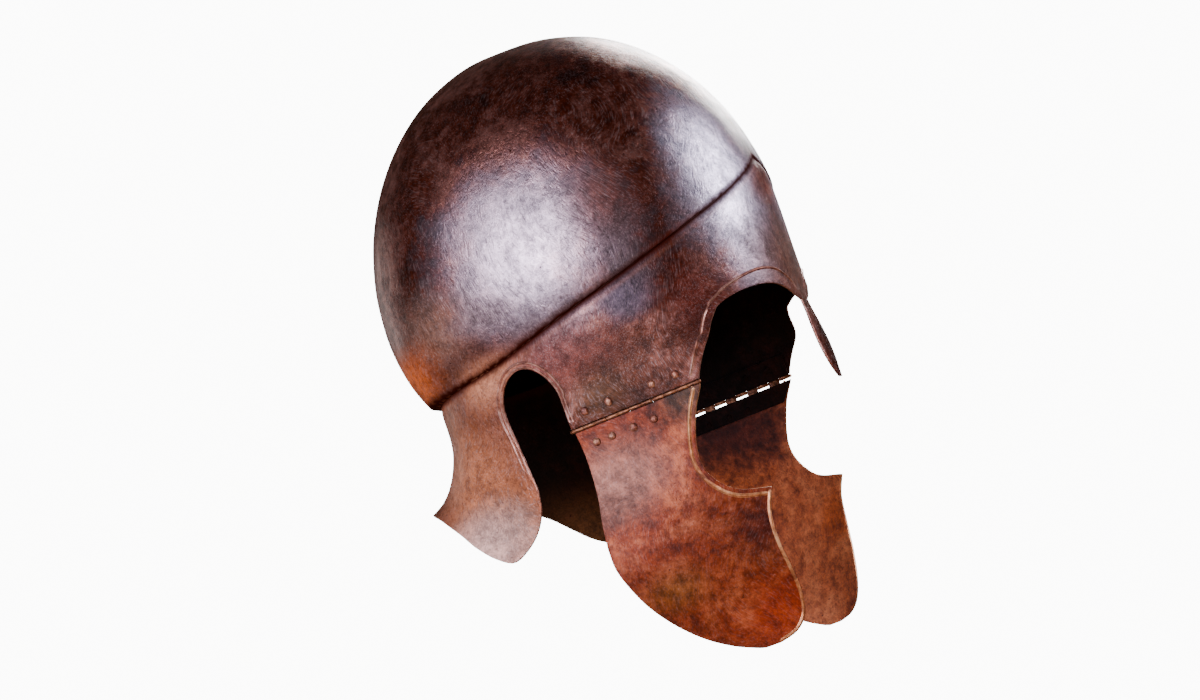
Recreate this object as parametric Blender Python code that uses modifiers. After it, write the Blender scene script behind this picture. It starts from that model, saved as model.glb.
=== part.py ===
"""Attic helmet: a hammered bronze bowl with a nasal and a neck guard, and two hinged cheek pieces.

Units are metres. +Z is up, the face looks towards -Y and the wearer's right side is at -X.
The origin is where the head bears, on the inner face of the crown.
Sizes are worked out as ahead (towards the face), side (away from the middle plane) and height
above the brow line, and each shape is made for the +X side and mirrored.
"""

import math
from collections import namedtuple

import bmesh
import bpy
from mathutils import Matrix, Vector

MM = 0.001

# Bronze sheet and clearances
WALL = 1.2 * MM
LEAF = 0.8 * MM
CLEARANCE = 0.3 * MM

# Dome, from the upright line through its middle
CROWN_HEIGHT = 176.5 * MM
EQUATOR_HEIGHT = 45 * MM
DOME_FRONT = 116.5 * MM
DOME_REAR = 118 * MM
DOME_SIDE = 91 * MM
DOME_ROUNDNESS = 2.06
DOME_PLAN = 2.15
DOME_TUCK = 9 * MM
TUCK_POWER = 2.2

# Crease between dome and wall, highest over the forehead
CREASE_PEAK = 67 * MM
CREASE_REAR = 2.5 * MM
LEDGE_REAR = 6 * MM
LEDGE_FALL = 3 * MM
BOSS_RISE = 1.8 * MM
BOSS_BELOW_PEAK = 9 * MM
BOSS_SPREAD = 8 * MM
BOSS_BEARING = 9

# Brow and temples
BROW_FRONT = 114 * MM
BROW_PLAN = 2.4
TEMPLE_FLARE = 2 * MM
TEMPLE_PLAN = 6
TEMPLE_TURN_HEIGHT = -8 * MM
TEMPLE_LEAN = 0.15 * MM
EYE_TOP = -5 * MM
NASAL_ROOT = -17 * MM
NASAL_LENGTH = 46 * MM
NASAL_WIDTH = 19 * MM
NASAL_LEAN = 3.5 * MM
NASAL_ROOT_SHARE = 0.6
NASAL_SHOULDER = 0.3

# Ear openings
EAR_TOP = -3.5 * MM
EAR_SPRING = -26 * MM
EAR_REAR = -43 * MM

# Neck guard
NECK_REAR = 101.5 * MM
NECK_PLAN = 2.3
NECK_WAIST = -11 * MM
NECK_BELT_REAR = -9 * MM
GUARD_REAR_HEIGHT = -51 * MM
LOBE_DROP = 47 * MM
LOBE_BEARING = 131
FLARE_REAR = 30 * MM
FLARE_SWEEP_POWER = 2
FLARE_LIP_POWER = 12
FLARE_LIP_SHARE = 0.2

# Hinges of the cheek pieces, along the temples
HINGE_SIDE = 79 * MM
HINGE_HEIGHT = -45 * MM
HINGE_REAR = -8.5 * MM
HINGE_FRONT = 67.5 * MM
PIN_RADIUS = 0.7 * MM
PIN_HEAD = 0.8 * MM
KNUCKLES = 11
LEAF_INSET_REAR = 2 * MM
LEAF_SLANT = {"upper": 0.0, "lower": 8.5 * MM}
LEAF_HEIGHT = 13 * MM
FLAT_BAND = 15 * MM
KNUCKLE_LAP = 1.5 * MM
TOOL_REACH = 2 * MM

# Cheek pieces
CHEEK_DROP = 139 * MM
CHEEK_REACH = 89 * MM
CHEEK_BULGE = 13 * MM
CHEEK_TUCK = 11 * MM
CHEEK_TURN = 28 * MM

# Rivets
RIVET_SHANK = 1.0 * MM
RIVET_HEAD = 2.3 * MM
RIVET_DOME = 1.2 * MM
RIVET_BURR = 1.8 * MM
RIVET_BURR_DOME = 0.7 * MM
RIVET_RISE = 8 * MM
RIVET_FALL = 9.5 * MM
RIVET_HINGE_SHARES = {"upper": (0.14, 0.33, 0.67, 0.855), "lower": (0.15, 0.27, 0.44, 0.60)}
# A round head passes through this share of its radius at this share of its height
HEAD_RADIUS_SHARE = 0.7
HEAD_HEIGHT_SHARE = 0.75

# Numbers of faces
HINGE_SIDES = 10
RIVET_SIDES = 8
DOME_ROWS = 10
BAND_ROWS = 4
NASAL_ROWS = 8
TEMPLE_ROWS = 3
GUARD_ROWS = 8
NASAL_COLUMNS = 2
EYE_COLUMNS = 8
TEMPLE_COLUMNS = 7
EAR_COLUMNS = 8
GUARD_COLUMNS = 10
CHEEK_COLUMNS = 7
CHEEK_STEPS = 2
GUARD_ROW_POWER = 0.85
BEARING_PASSES = 12
SHARP_ANGLE = 35
MERGE_DISTANCE = 0.02 * MM
MIRROR_MERGE = 0.05 * MM

Finish = namedtuple("Finish", "colour roughness")
FINISHES = {
    "bowl": Finish((0.14, 0.07, 0.055), 0.38),
    "cheek_piece": Finish((0.25, 0.10, 0.06), 0.50),
    "hinge": Finish((0.30, 0.16, 0.10), 0.45),
    "rivet": Finish((0.36, 0.20, 0.13), 0.40),
}

BARREL_RADIUS = WALL / 2 + CLEARANCE + LEAF
BORE_RADIUS = PIN_RADIUS + CLEARANCE
EDGE_GAP = BARREL_RADIUS + CLEARANCE
HINGE_EDGE = HINGE_HEIGHT + EDGE_GAP
SEAT_HEIGHT = CROWN_HEIGHT - WALL
TEMPLE_FACE = HINGE_SIDE + WALL / 2
TEMPLE_FLAT_HEIGHT = HINGE_HEIGHT + RIVET_RISE - RIVET_HEAD - CLEARANCE

# Bearings run from 0 at the face to 180 at the back of the head
Bearing = namedtuple("Bearing", "bearing share")
CREASE_RISE = [
    Bearing(0, 1.0), Bearing(14, 0.80), Bearing(31, 0.595), Bearing(57, 0.345), Bearing(90, 0.15),
    Bearing(115, 0.035), Bearing(140, 0.0), Bearing(180, 0.0),
]
LEDGE_SHARE = [
    Bearing(0, 0.14), Bearing(60, 0.24), Bearing(120, 0.30), Bearing(145, 0.55),
    Bearing(165, 0.92), Bearing(180, 1.0),
]
FLARE_SHARE = [
    Bearing(110, 0.05), Bearing(120, 0.13), Bearing(132, 0.38), Bearing(141, 0.56),
    Bearing(155, 0.68), Bearing(168, 0.86), Bearing(180, 1.0),
]
# The eye's edge falls from EYE_TOP to the hinge, and turns down at its corner
EYE_ARCH = [
    Bearing(2.6, 0.315), Bearing(5.5, 0.25), Bearing(9.5, 0.13), Bearing(15, 0.03),
    Bearing(22, 0.0), Bearing(30, 0.04), Bearing(36, 0.13),
]
EYE_REAR = [
    Bearing(36, 0.13), Bearing(40.5, 0.30), Bearing(44, 0.50), Bearing(47, 0.74), Bearing(49.5, 1.0),
]
# The guard's lower edge falls from GUARD_REAR_HEIGHT at the back to the lobe
GUARD_EDGE = [
    Bearing(117.4, 0.32), Bearing(118.4, 0.55), Bearing(121.5, 0.76), Bearing(126, 0.92),
    Bearing(LOBE_BEARING, 1.0), Bearing(136, 0.88), Bearing(141, 0.66), Bearing(147, 0.41),
    Bearing(156, 0.19), Bearing(167, 0.06), Bearing(180, 0.0),
]
NasalSection = namedtuple("NasalSection", "down width")
NASAL_LEAF = [
    NasalSection(0.0, NASAL_ROOT_SHARE), NasalSection(0.15, 0.68), NasalSection(0.35, 0.90),
    NasalSection(0.55, 1.0), NasalSection(0.75, 0.84), NasalSection(0.9, 0.50),
    NasalSection(1.0, 0.18),
]
# Rows of a cheek piece from the hinge down: shares of CHEEK_REACH and CHEEK_DROP
CheekSection = namedtuple("CheekSection", "rear_ahead rear_down front_ahead front_down")
CHEEK_UPPER = [
    CheekSection(0.017, 0.0, 0.854, 0.0),
    CheekSection(0.028, 0.07, 0.775, 0.08),
    CheekSection(0.028, 0.165, 0.713, 0.18),
    CheekSection(0.025, 0.265, 0.690, 0.265),
    CheekSection(0.013, 0.342, 0.725, 0.340),
    CheekSection(0.008, 0.40, 0.826, 0.410),
    CheekSection(0.004, 0.453, 1.0, 0.445),
]
CHEEK_LOWER = [
    CHEEK_UPPER[-1],
    CheekSection(0.010, 0.535, 0.945, 0.530),
    CheekSection(0.046, 0.620, 0.925, 0.636),
    CheekSection(0.104, 0.717, 0.920, 0.750),
    CheekSection(0.192, 0.810, 0.905, 0.850),
    CheekSection(0.302, 0.890, 0.865, 0.930),
    CheekSection(0.43, 0.951, 0.795, 0.978),
    CheekSection(0.55, 0.989, 0.700, 0.998),
    CheekSection(0.60, 1.0, 0.645, 1.0),
]


def mix(low, high, share):
    """Return the value that lies at a share of the way from low to high."""
    return low + (high - low) * share


def ease(share):
    """Turn a share into one that starts and ends level."""
    held = min(max(share, 0.0), 1.0)
    return held * held * (3 - 2 * held)


def spline(points, share):
    """Return the point at a share along a smooth curve through equal steps of points."""
    place = min(max(share, 0.0), 1.0) * (len(points) - 1)
    index = min(int(place), len(points) - 2)
    local = place - index
    start, end = Vector(points[index]), Vector(points[index + 1])
    before = Vector(points[index - 1]) if index > 0 else 2 * start - end
    after = Vector(points[index + 2]) if index + 2 < len(points) else 2 * end - start
    start_slope, end_slope = (end - before) / 2, (after - start) / 2
    square, cube = local ** 2, local ** 3
    return (start * (2 * cube - 3 * square + 1) + start_slope * (cube - 2 * square + local)
            + end * (3 * square - 2 * cube) + end_slope * (cube - square))


def table_value(table, position):
    """Read a smooth value from rows of (position, value) at any position."""
    last = len(table) - 2
    index = 0
    while index < last and position > table[index + 1][0]:
        index += 1
    slopes = []
    for row in (index, index + 1):
        low, high = table[max(row - 1, 0)], table[min(row + 1, last + 1)]
        slopes.append((high[1] - low[1]) / (high[0] - low[0]))
    start, end = table[index], table[index + 1]
    span = end[0] - start[0]
    local = min(max((position - start[0]) / span, 0.0), 1.0)
    square, cube = local ** 2, local ** 3
    return (start[1] * (2 * cube - 3 * square + 1) + slopes[0] * span * (cube - 2 * square + local)
            + end[1] * (3 * square - 2 * cube) + slopes[1] * span * (cube - square))


def plan_radius(bearing, front, rear, side, power):
    """Return the radius of a superellipse seen from above, at a bearing in degrees."""
    angle = math.radians(bearing)
    reach = front if bearing <= 90 else rear
    ahead, across = abs(math.cos(angle)) / reach, abs(math.sin(angle)) / side
    return (ahead ** power + across ** power) ** (-1 / power)


def crease_height(bearing):
    """Return the height of the crease line at a bearing."""
    return mix(CREASE_REAR, CREASE_PEAK, table_value(CREASE_RISE, bearing))


def dome_arc(height):
    """Return how far round the dome's profile a height lies, from 0 at the crown."""
    rise = (height - EQUATOR_HEIGHT) / (CROWN_HEIGHT - EQUATOR_HEIGHT)
    if rise < 0:
        return math.pi / 2 - rise
    return math.acos(min(rise ** (DOME_ROUNDNESS / 2), 1.0))


def dome_point(bearing, arc):
    """Return the radius and height of the dome at a bearing and a place on its profile."""
    full = plan_radius(bearing, DOME_FRONT, DOME_REAR, DOME_SIDE, DOME_PLAN)
    rise = CROWN_HEIGHT - EQUATOR_HEIGHT
    if arc > math.pi / 2:
        fall = (arc - math.pi / 2) * rise
        sink = fall / (EQUATOR_HEIGHT - CREASE_REAR)
        return full - DOME_TUCK * sink ** TUCK_POWER, EQUATOR_HEIGHT - fall
    share = 2 / DOME_ROUNDNESS
    return full * math.sin(arc) ** share, EQUATOR_HEIGHT + rise * max(math.cos(arc), 0.0) ** share


def wall_top(bearing):
    """Return the radius and height of the wall's upper edge."""
    radius, height = dome_point(bearing, dome_arc(crease_height(bearing)))
    share = table_value(LEDGE_SHARE, bearing)
    return radius - LEDGE_REAR * share, height - LEDGE_FALL * share


def temple_radius(bearing):
    """Return the plan radius at the hinges, where the temples are flat."""
    front_bearing = math.degrees(math.atan2(TEMPLE_FACE, HINGE_FRONT))
    rear_bearing = math.degrees(math.atan2(TEMPLE_FACE, HINGE_REAR))
    if bearing < front_bearing:
        side = TEMPLE_FACE / (1 - (HINGE_FRONT / BROW_FRONT) ** TEMPLE_PLAN) ** (1 / TEMPLE_PLAN)
        return plan_radius(bearing, BROW_FRONT, BROW_FRONT, side, TEMPLE_PLAN)
    if bearing <= rear_bearing:
        return TEMPLE_FACE / math.sin(math.radians(bearing))
    return plan_radius(bearing, BROW_FRONT, NECK_REAR, TEMPLE_FACE, NECK_PLAN)


def guard_edge_height(bearing):
    """Return the height of the neck guard's lower edge behind its lobe."""
    return GUARD_REAR_HEIGHT - LOBE_DROP * table_value(GUARD_EDGE, bearing)


def wall_radius(bearing, height):
    """Return the outer radius of the wall below the crease."""
    top_radius, top_height = wall_top(bearing)
    flat_height = HINGE_EDGE + FLAT_BAND
    brow = plan_radius(bearing, BROW_FRONT, NECK_REAR, TEMPLE_FACE + TEMPLE_FLARE, BROW_PLAN)
    radius = mix(top_radius, brow, ease((top_height - height) / (top_height - flat_height)))
    turned = ease((TEMPLE_TURN_HEIGHT - height) / (TEMPLE_TURN_HEIGHT - flat_height))
    radius = mix(radius, temple_radius(bearing), turned)
    radius += TEMPLE_LEAN * ease((height - TEMPLE_FLAT_HEIGHT) / RIVET_RISE)
    boss = ((height - CREASE_PEAK + BOSS_BELOW_PEAK) / BOSS_SPREAD) ** 2 + (bearing / BOSS_BEARING) ** 2
    radius += BOSS_RISE * math.exp(-boss)
    if bearing > FLARE_SHARE[0].bearing:
        edge = guard_edge_height(max(bearing, LOBE_BEARING))
        fall = min(max((NECK_WAIST - height) / (NECK_WAIST - edge), 0.0), 1.0)
        curve = mix(fall ** FLARE_SWEEP_POWER, fall ** FLARE_LIP_POWER, FLARE_LIP_SHARE)
        radius += FLARE_REAR * table_value(FLARE_SHARE, bearing) * curve
    return radius


def wall_point(bearing, height):
    """Return a point of the wall's outer face."""
    angle = math.radians(bearing)
    radius = wall_radius(bearing, height)
    side = 0.0 if bearing in (0, 180) else radius * math.sin(angle)
    return Vector((side, -radius * math.cos(angle), height))


def bearing_at(ahead, height):
    """Return the bearing at which the wall passes a place ahead of the middle."""
    bearing = math.degrees(math.atan2(TEMPLE_FACE, ahead))
    for _ in range(BEARING_PASSES):
        radius = wall_radius(bearing, height)
        side = math.sqrt(radius ** 2 - ahead ** 2)
        bearing = math.degrees(math.atan2(side, ahead))
    return bearing


def eye_point(table, share):
    """Return the bearing and height at a share along a part of the eye's edge."""
    rows = [(row.bearing, mix(EYE_TOP, HINGE_EDGE, row.share)) for row in table]
    rows[0] = (rows[0][0], NASAL_ROOT) if table is EYE_ARCH else rows[0]
    return spline(rows, share)


def belt_line():
    """Return the bearing and height of each column where the wall meets nasal, eye, ear and guard."""
    nasal_bearing = EYE_ARCH[0].bearing
    belt = [(nasal_bearing * column / NASAL_COLUMNS, NASAL_ROOT) for column in range(NASAL_COLUMNS)]
    belt += [tuple(eye_point(EYE_ARCH, column / EYE_COLUMNS)) for column in range(EYE_COLUMNS)]
    corner = eye_point(EYE_REAR, 0)
    ear_corner = (bearing_at(HINGE_REAR, EAR_SPRING), EAR_SPRING)
    for column in range(TEMPLE_COLUMNS):
        share = column / TEMPLE_COLUMNS
        belt.append((mix(corner[0], ear_corner[0], share), mix(corner[1], EAR_SPRING, share)))
    middle, half = (HINGE_REAR + EAR_REAR) / 2, (HINGE_REAR - EAR_REAR) / 2
    for column in range(EAR_COLUMNS):
        angle = math.pi * column / EAR_COLUMNS
        height = mix(EAR_SPRING, EAR_TOP, math.sin(angle))
        belt.append((bearing_at(middle + half * math.cos(angle), height), height))
    lobe_corner = (bearing_at(EAR_REAR, EAR_SPRING), EAR_SPRING)
    for column in range(GUARD_COLUMNS + 1):
        share = column / GUARD_COLUMNS
        belt.append((mix(lobe_corner[0], 180, share), mix(EAR_SPRING, NECK_BELT_REAR, ease(share))))
    return belt


def add_grid(mesh, rows):
    """Add a sheet of four-sided faces through rows of points."""
    grid = [[mesh.verts.new(point) for point in row] for row in rows]
    for upper, lower in zip(grid, grid[1:]):
        for column in range(len(upper) - 1):
            mesh.faces.new((upper[column], lower[column], lower[column + 1], upper[column + 1]))


def dome_rows(belt):
    """Return the dome's rows of points, from just under the crown to the crease."""
    rows = []
    for row in range(DOME_ROWS + 1):
        points = []
        for bearing, _ in belt:
            arc = dome_arc(crease_height(bearing)) * row / DOME_ROWS
            radius, height = dome_point(bearing, arc)
            angle = math.radians(bearing)
            side = 0.0 if bearing in (0, 180) else radius * math.sin(angle)
            points.append(Vector((side, -radius * math.cos(angle), height)))
        rows.append(points)
    return rows


def band_rows(belt):
    """Return rows of points from the wall's upper edge to the belt line."""
    rows = []
    for row in range(BAND_ROWS + 1):
        share = row / BAND_ROWS
        points = []
        for bearing, height in belt:
            top = wall_top(bearing)[1]
            points.append(wall_point(bearing, mix(top, height, share)))
        rows.append(points)
    return rows


def nasal_rows(belt):
    """Return the nasal's rows of points, a leaf that hangs from the brow and leans out."""
    root = [wall_point(bearing, height) for bearing, height in belt[:NASAL_COLUMNS + 1]]
    root_width = root[-1].x
    rows = [root]
    for row in range(1, NASAL_ROWS + 1):
        down = row / NASAL_ROWS
        width = table_value(NASAL_LEAF, down) / NASAL_ROOT_SHARE
        leaf = ease(down / NASAL_SHOULDER)
        half = root_width * width * mix(1.0, NASAL_WIDTH * NASAL_ROOT_SHARE / 2 / root_width, leaf)
        points = []
        for point in root:
            side = point.x / root_width * half
            points.append(Vector((side, point.y - NASAL_LEAN * down, NASAL_ROOT - NASAL_LENGTH * down)))
        rows.append(points)
    return rows


def temple_rows():
    """Return the temple's rows of points, between the eye's rear edge and the ear's front edge.

    One row lies level just above the hinge leaf and one just below the rivets' heads. From there
    down to the hinge the temple is one flat strip.
    """
    corner = eye_point(EYE_REAR, 0)[1]
    level = HINGE_HEIGHT + LEAF_HEIGHT + CLEARANCE
    heights = []
    for row in range(TEMPLE_ROWS):
        share = row / TEMPLE_ROWS
        heights.append((mix(corner, level, share), mix(EAR_SPRING, level, share)))
    heights += [(height, height) for height in (level, TEMPLE_FLAT_HEIGHT, HINGE_EDGE)]
    falls = [(row.share, row.bearing) for row in EYE_REAR]
    rows = []
    for front_height, rear_height in heights:
        front_bearing = table_value(falls, (EYE_TOP - front_height) / (EYE_TOP - HINGE_EDGE))
        rear_bearing = bearing_at(HINGE_REAR, rear_height)
        points = []
        for column in range(TEMPLE_COLUMNS + 1):
            across = column / TEMPLE_COLUMNS
            bearing = mix(front_bearing, rear_bearing, across)
            points.append(wall_point(bearing, mix(front_height, rear_height, across)))
        rows.append(points)
    return rows


def guard_rows(belt):
    """Return the neck guard's rows of points, from the belt line to its lower edge."""
    top = belt[-GUARD_COLUMNS - 1:]
    edge = [(row.bearing, GUARD_REAR_HEIGHT - LOBE_DROP * row.share) for row in GUARD_EDGE]
    rows = []
    for row in range(GUARD_ROWS + 1):
        share = (row / GUARD_ROWS) ** GUARD_ROW_POWER
        points = []
        for column, (bearing, height) in enumerate(top):
            low_bearing, low_height = spline(edge, column / GUARD_COLUMNS)
            last = column == GUARD_COLUMNS
            place = 180 if last else mix(bearing, low_bearing, share)
            points.append(wall_point(place, mix(height, low_height, share)))
        rows.append(points)
    return rows


def face_outwards(mesh):
    """Make the faces of an open sheet agree, and turn them away from the upright line."""
    bmesh.ops.recalc_face_normals(mesh, faces=mesh.faces)
    middle = Vector((0, 0, HINGE_HEIGHT))
    if sum(face.normal.dot(face.calc_center_median() - middle) for face in mesh.faces) < 0:
        bmesh.ops.reverse_faces(mesh, faces=mesh.faces)


def make_object(name, mesh, collection, material=None):
    """Turn a bmesh into an object that is shaded smooth between its sharp edges."""
    data = bpy.data.meshes.new(name)
    mesh.to_mesh(data)
    mesh.free()
    data.shade_smooth()
    data.set_sharp_from_angle(angle=math.radians(SHARP_ANGLE))
    item = bpy.data.objects.new(name, data)
    if material:
        data.materials.append(material)
    collection.objects.link(item)
    return item


def make_material(slot):
    """Make one of the bronze finishes."""
    colour, roughness = FINISHES[slot]
    material = bpy.data.materials.new(f"bronze_{slot}")
    material.use_nodes = True
    shader = material.node_tree.nodes["Principled BSDF"]
    shader.inputs["Base Color"].default_value = (*colour, 1.0)
    shader.inputs["Roughness"].default_value = roughness
    shader.inputs["Metallic"].default_value = 1.0
    return material


def add_wall(item):
    """Give a sheet its bronze wall on the inner side."""
    solidify = item.modifiers.new("bronze wall", "SOLIDIFY")
    solidify.thickness = WALL
    solidify.offset = -1
    solidify.use_quality_normals = True
    solidify.use_even_offset = True


def add_mirror(item):
    """Complete a half across the middle plane."""
    mirror = item.modifiers.new("other half", "MIRROR")
    mirror.use_axis = (True, False, False)
    mirror.merge_threshold = MIRROR_MERGE


def add_boolean(item, tool, operation, name):
    """Cut or join with another closed mesh."""
    boolean = item.modifiers.new(name, "BOOLEAN")
    boolean.object = tool
    boolean.operation = operation
    boolean.solver = "EXACT"


def add_rod(mesh, radius, start, end, sides):
    """Add a closed rod between two points to a bmesh."""
    span = end - start
    turn = span.to_track_quat("Z", "Y").to_matrix().to_4x4()
    place = Matrix.Translation((start + end) / 2) @ turn
    bmesh.ops.create_cone(mesh, cap_ends=True, segments=sides, radius1=radius, radius2=radius,
                          depth=span.length, matrix=place)


def rivet_places(level):
    """Return the ahead places and the height above the hinge axis of a row of rivets."""
    span = HINGE_FRONT - HINGE_REAR
    rise = RIVET_RISE if level == "upper" else -RIVET_FALL
    return [HINGE_REAR + share * span for share in RIVET_HINGE_SHARES[level]], rise


def hinge_point(ahead, rise, out=0.0):
    """Return a place on the +X side, from the middle of the hinge axis."""
    middle = (HINGE_FRONT + HINGE_REAR) / 2
    return Vector((out, middle - ahead, rise))


def make_rivet_cutters(level, collection):
    """Make the drills that clear the shanks of one row of rivets."""
    mesh = bmesh.new()
    places, rise = rivet_places(level)
    reach = WALL + CLEARANCE + LEAF + TOOL_REACH
    for ahead in places:
        inner, outer = hinge_point(ahead, rise, -reach), hinge_point(ahead, rise, reach)
        add_rod(mesh, RIVET_SHANK + CLEARANCE, inner, outer, RIVET_SIDES)
    return make_object(f"drill_{level}", mesh, collection)


def make_bowl(collection, cutters, material):
    """Make the bowl from its half sheet, mirror it, thicken it and drill it."""
    belt = belt_line()
    mesh = bmesh.new()
    dome = dome_rows(belt)
    add_grid(mesh, dome)
    band = band_rows(belt)
    add_grid(mesh, [dome[-1], band[0]])
    add_grid(mesh, band)
    add_grid(mesh, nasal_rows(belt))
    add_grid(mesh, temple_rows())
    add_grid(mesh, guard_rows(belt))
    bmesh.ops.remove_doubles(mesh, verts=mesh.verts, dist=MERGE_DISTANCE)
    bmesh.ops.dissolve_degenerate(mesh, edges=mesh.edges, dist=MERGE_DISTANCE / 2)
    face_outwards(mesh)
    bowl = make_object("helmet_bowl", mesh, collection, material)
    bowl.location.z = -SEAT_HEIGHT
    add_mirror(bowl)
    add_wall(bowl)
    for side, sign in (("left", 1), ("right", -1)):
        drill = make_rivet_cutters("upper", cutters)
        drill.name = f"bowl_drill_{side}"
        drill.location = hinge_place(sign)
        add_boolean(bowl, drill, "DIFFERENCE", f"rivet holes {side}")


def hinge_place(sign):
    """Return the middle of a hinge's axis in the object's frame; sign is 1 for the left side."""
    middle = (HINGE_FRONT + HINGE_REAR) / 2
    return Vector((sign * HINGE_SIDE, -middle, HINGE_HEIGHT - SEAT_HEIGHT))


def cheek_side(ahead, height):
    """Return the outer face of a cheek piece, out from the hinge axis."""
    drop = (HINGE_HEIGHT - EDGE_GAP - FLAT_BAND - height) / (CHEEK_DROP - FLAT_BAND)
    drop = max(drop, 0.0)
    lead = (ahead - HINGE_REAR) / CHEEK_REACH
    swell = CHEEK_BULGE * math.sin(math.pi * min(drop, 1.0)) ** 2
    return WALL / 2 + swell - CHEEK_TUCK * drop ** 2 - CHEEK_TURN * lead ** 2 * ease(2 * drop)


def cheek_rows():
    """Return the rows of points of the +X cheek piece, from the middle of the hinge axis."""
    sections = []
    for run, first in ((CHEEK_UPPER, 0), (CHEEK_LOWER, 1)):
        steps = (len(run) - 1) * CHEEK_STEPS
        sections += [spline(run_points(run), step / steps) for step in range(first, steps + 1)]
    rows = []
    for rear_ahead, rear_height, front_ahead, front_height in sections:
        points = []
        for column in range(CHEEK_COLUMNS + 1):
            share = column / CHEEK_COLUMNS
            ahead = mix(rear_ahead, front_ahead, share)
            height = mix(rear_height, front_height, share)
            points.append(hinge_point(ahead, height - HINGE_HEIGHT, cheek_side(ahead, height)))
        rows.append(points)
    return rows


def run_points(run):
    """Turn a run of cheek sections into real places."""
    top = HINGE_HEIGHT - EDGE_GAP
    return [
        Vector((HINGE_REAR + row.rear_ahead * CHEEK_REACH, top - row.rear_down * CHEEK_DROP,
                HINGE_REAR + row.front_ahead * CHEEK_REACH, top - row.front_down * CHEEK_DROP))
        for row in run
    ]


def mirror_mesh(item):
    """Turn a +X side mesh into its -X side twin."""
    item.data.transform(Matrix.Scale(-1, 4, Vector((1, 0, 0))))
    item.data.flip_normals()


def make_cheek_piece(name, sign, collection, cutters, material):
    """Make one cheek piece with its rivet holes."""
    mesh = bmesh.new()
    add_grid(mesh, cheek_rows())
    bmesh.ops.recalc_face_normals(mesh, faces=mesh.faces)
    if sum(face.normal.x for face in mesh.faces) < 0:
        bmesh.ops.reverse_faces(mesh, faces=mesh.faces)
    cheek = make_object(name, mesh, collection, material)
    drill = make_rivet_cutters("lower", cutters)
    drill.name = f"{name}_drill"
    if sign < 0:
        mirror_mesh(cheek)
        mirror_mesh(drill)
    add_wall(cheek)
    add_boolean(cheek, drill, "DIFFERENCE", "rivet holes")
    return cheek, drill


def knuckle_spans(level):
    """Return the start and end ahead places of the knuckles of one leaf."""
    length = HINGE_FRONT - HINGE_REAR
    pitch = (length + CLEARANCE) / KNUCKLES
    first = 0 if level == "upper" else 1
    return [
        (HINGE_REAR + index * pitch, HINGE_REAR + (index + 1) * pitch - CLEARANCE)
        for index in range(first, KNUCKLES, 2)
    ]


def knuckle_outline(direction):
    """Return the outline of a knuckle rolled from its leaf; direction is 1 for the upper leaf."""
    outer_face = -(WALL / 2 + CLEARANCE)
    meet = math.acos(outer_face / BARREL_RADIUS)
    points = []
    for step in range(HINGE_SIDES + 1):
        angle = mix(math.pi, 2 * math.pi + meet, step / HINGE_SIDES)
        points.append((BARREL_RADIUS * math.cos(angle), direction * BARREL_RADIUS * math.sin(angle)))
    lap = EDGE_GAP + KNUCKLE_LAP
    points.append((outer_face, direction * lap))
    points.append((-BARREL_RADIUS, direction * lap))
    return points


def add_prism(mesh, outline, start, end):
    """Add a closed prism with an outline of (out, rise) points between two ahead places."""
    first = [mesh.verts.new(hinge_point(start, rise, out)) for out, rise in outline]
    last = [mesh.verts.new(hinge_point(end, rise, out)) for out, rise in outline]
    mesh.faces.new(first)
    mesh.faces.new(list(reversed(last)))
    for index in range(len(outline)):
        following = (index + 1) % len(outline)
        mesh.faces.new((first[following], first[index], last[index], last[following]))


def make_leaf(name, level, sign, collection, cutters, material):
    """Make one hinge leaf: a plate with rolled knuckles, bored for the pin and drilled for rivets."""
    direction = 1 if level == "upper" else -1
    plate_face = -(WALL / 2 + CLEARANCE)
    low, high = direction * (EDGE_GAP + CLEARANCE), direction * LEAF_HEIGHT
    plate = bmesh.new()
    corners = [(plate_face, low), (plate_face, high), (-BARREL_RADIUS, high), (-BARREL_RADIUS, low)]
    add_prism(plate, corners, HINGE_REAR + LEAF_INSET_REAR, HINGE_FRONT)
    for corner in plate.verts:
        if abs(corner.co.z) > LEAF_HEIGHT / 2 and corner.co.y < 0:
            corner.co.y += LEAF_SLANT[level]
    bmesh.ops.recalc_face_normals(plate, faces=plate.faces)
    leaf = make_object(name, plate, collection, material)

    rolled = bmesh.new()
    for start, end in knuckle_spans(level):
        add_prism(rolled, knuckle_outline(direction), start, end)
    bmesh.ops.recalc_face_normals(rolled, faces=rolled.faces)
    knuckles = make_object(f"{name}_knuckles", rolled, cutters)

    hole = bmesh.new()
    rear, front = hinge_point(HINGE_REAR - TOOL_REACH, 0), hinge_point(HINGE_FRONT + TOOL_REACH, 0)
    add_rod(hole, BORE_RADIUS, rear, front, HINGE_SIDES)
    bore = make_object(f"{name}_bore", hole, cutters)
    drill = make_rivet_cutters(level, cutters)
    drill.name = f"{name}_drill"
    if sign < 0:
        for item in (leaf, knuckles, bore, drill):
            mirror_mesh(item)
    add_boolean(leaf, knuckles, "UNION", "knuckles")
    add_boolean(leaf, bore, "DIFFERENCE", "pin bore")
    add_boolean(leaf, drill, "DIFFERENCE", "rivet holes")
    return leaf, [knuckles, bore, drill]


def make_turned(name, profile, sides, collection, material):
    """Turn a profile of (radius, height) pairs, from top to bottom, round the Z axis."""
    mesh = bmesh.new()
    points = [mesh.verts.new((radius, 0, height)) for radius, height in profile]
    for first, second in zip(points, points[1:]):
        mesh.edges.new((first, second))
    item = make_object(name, mesh, collection, material)
    screw = item.modifiers.new("turned", "SCREW")
    screw.steps = sides
    screw.render_steps = sides
    screw.use_merge_vertices = True
    screw.merge_threshold = MERGE_DISTANCE
    screw.use_smooth_shade = True
    return item


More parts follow.
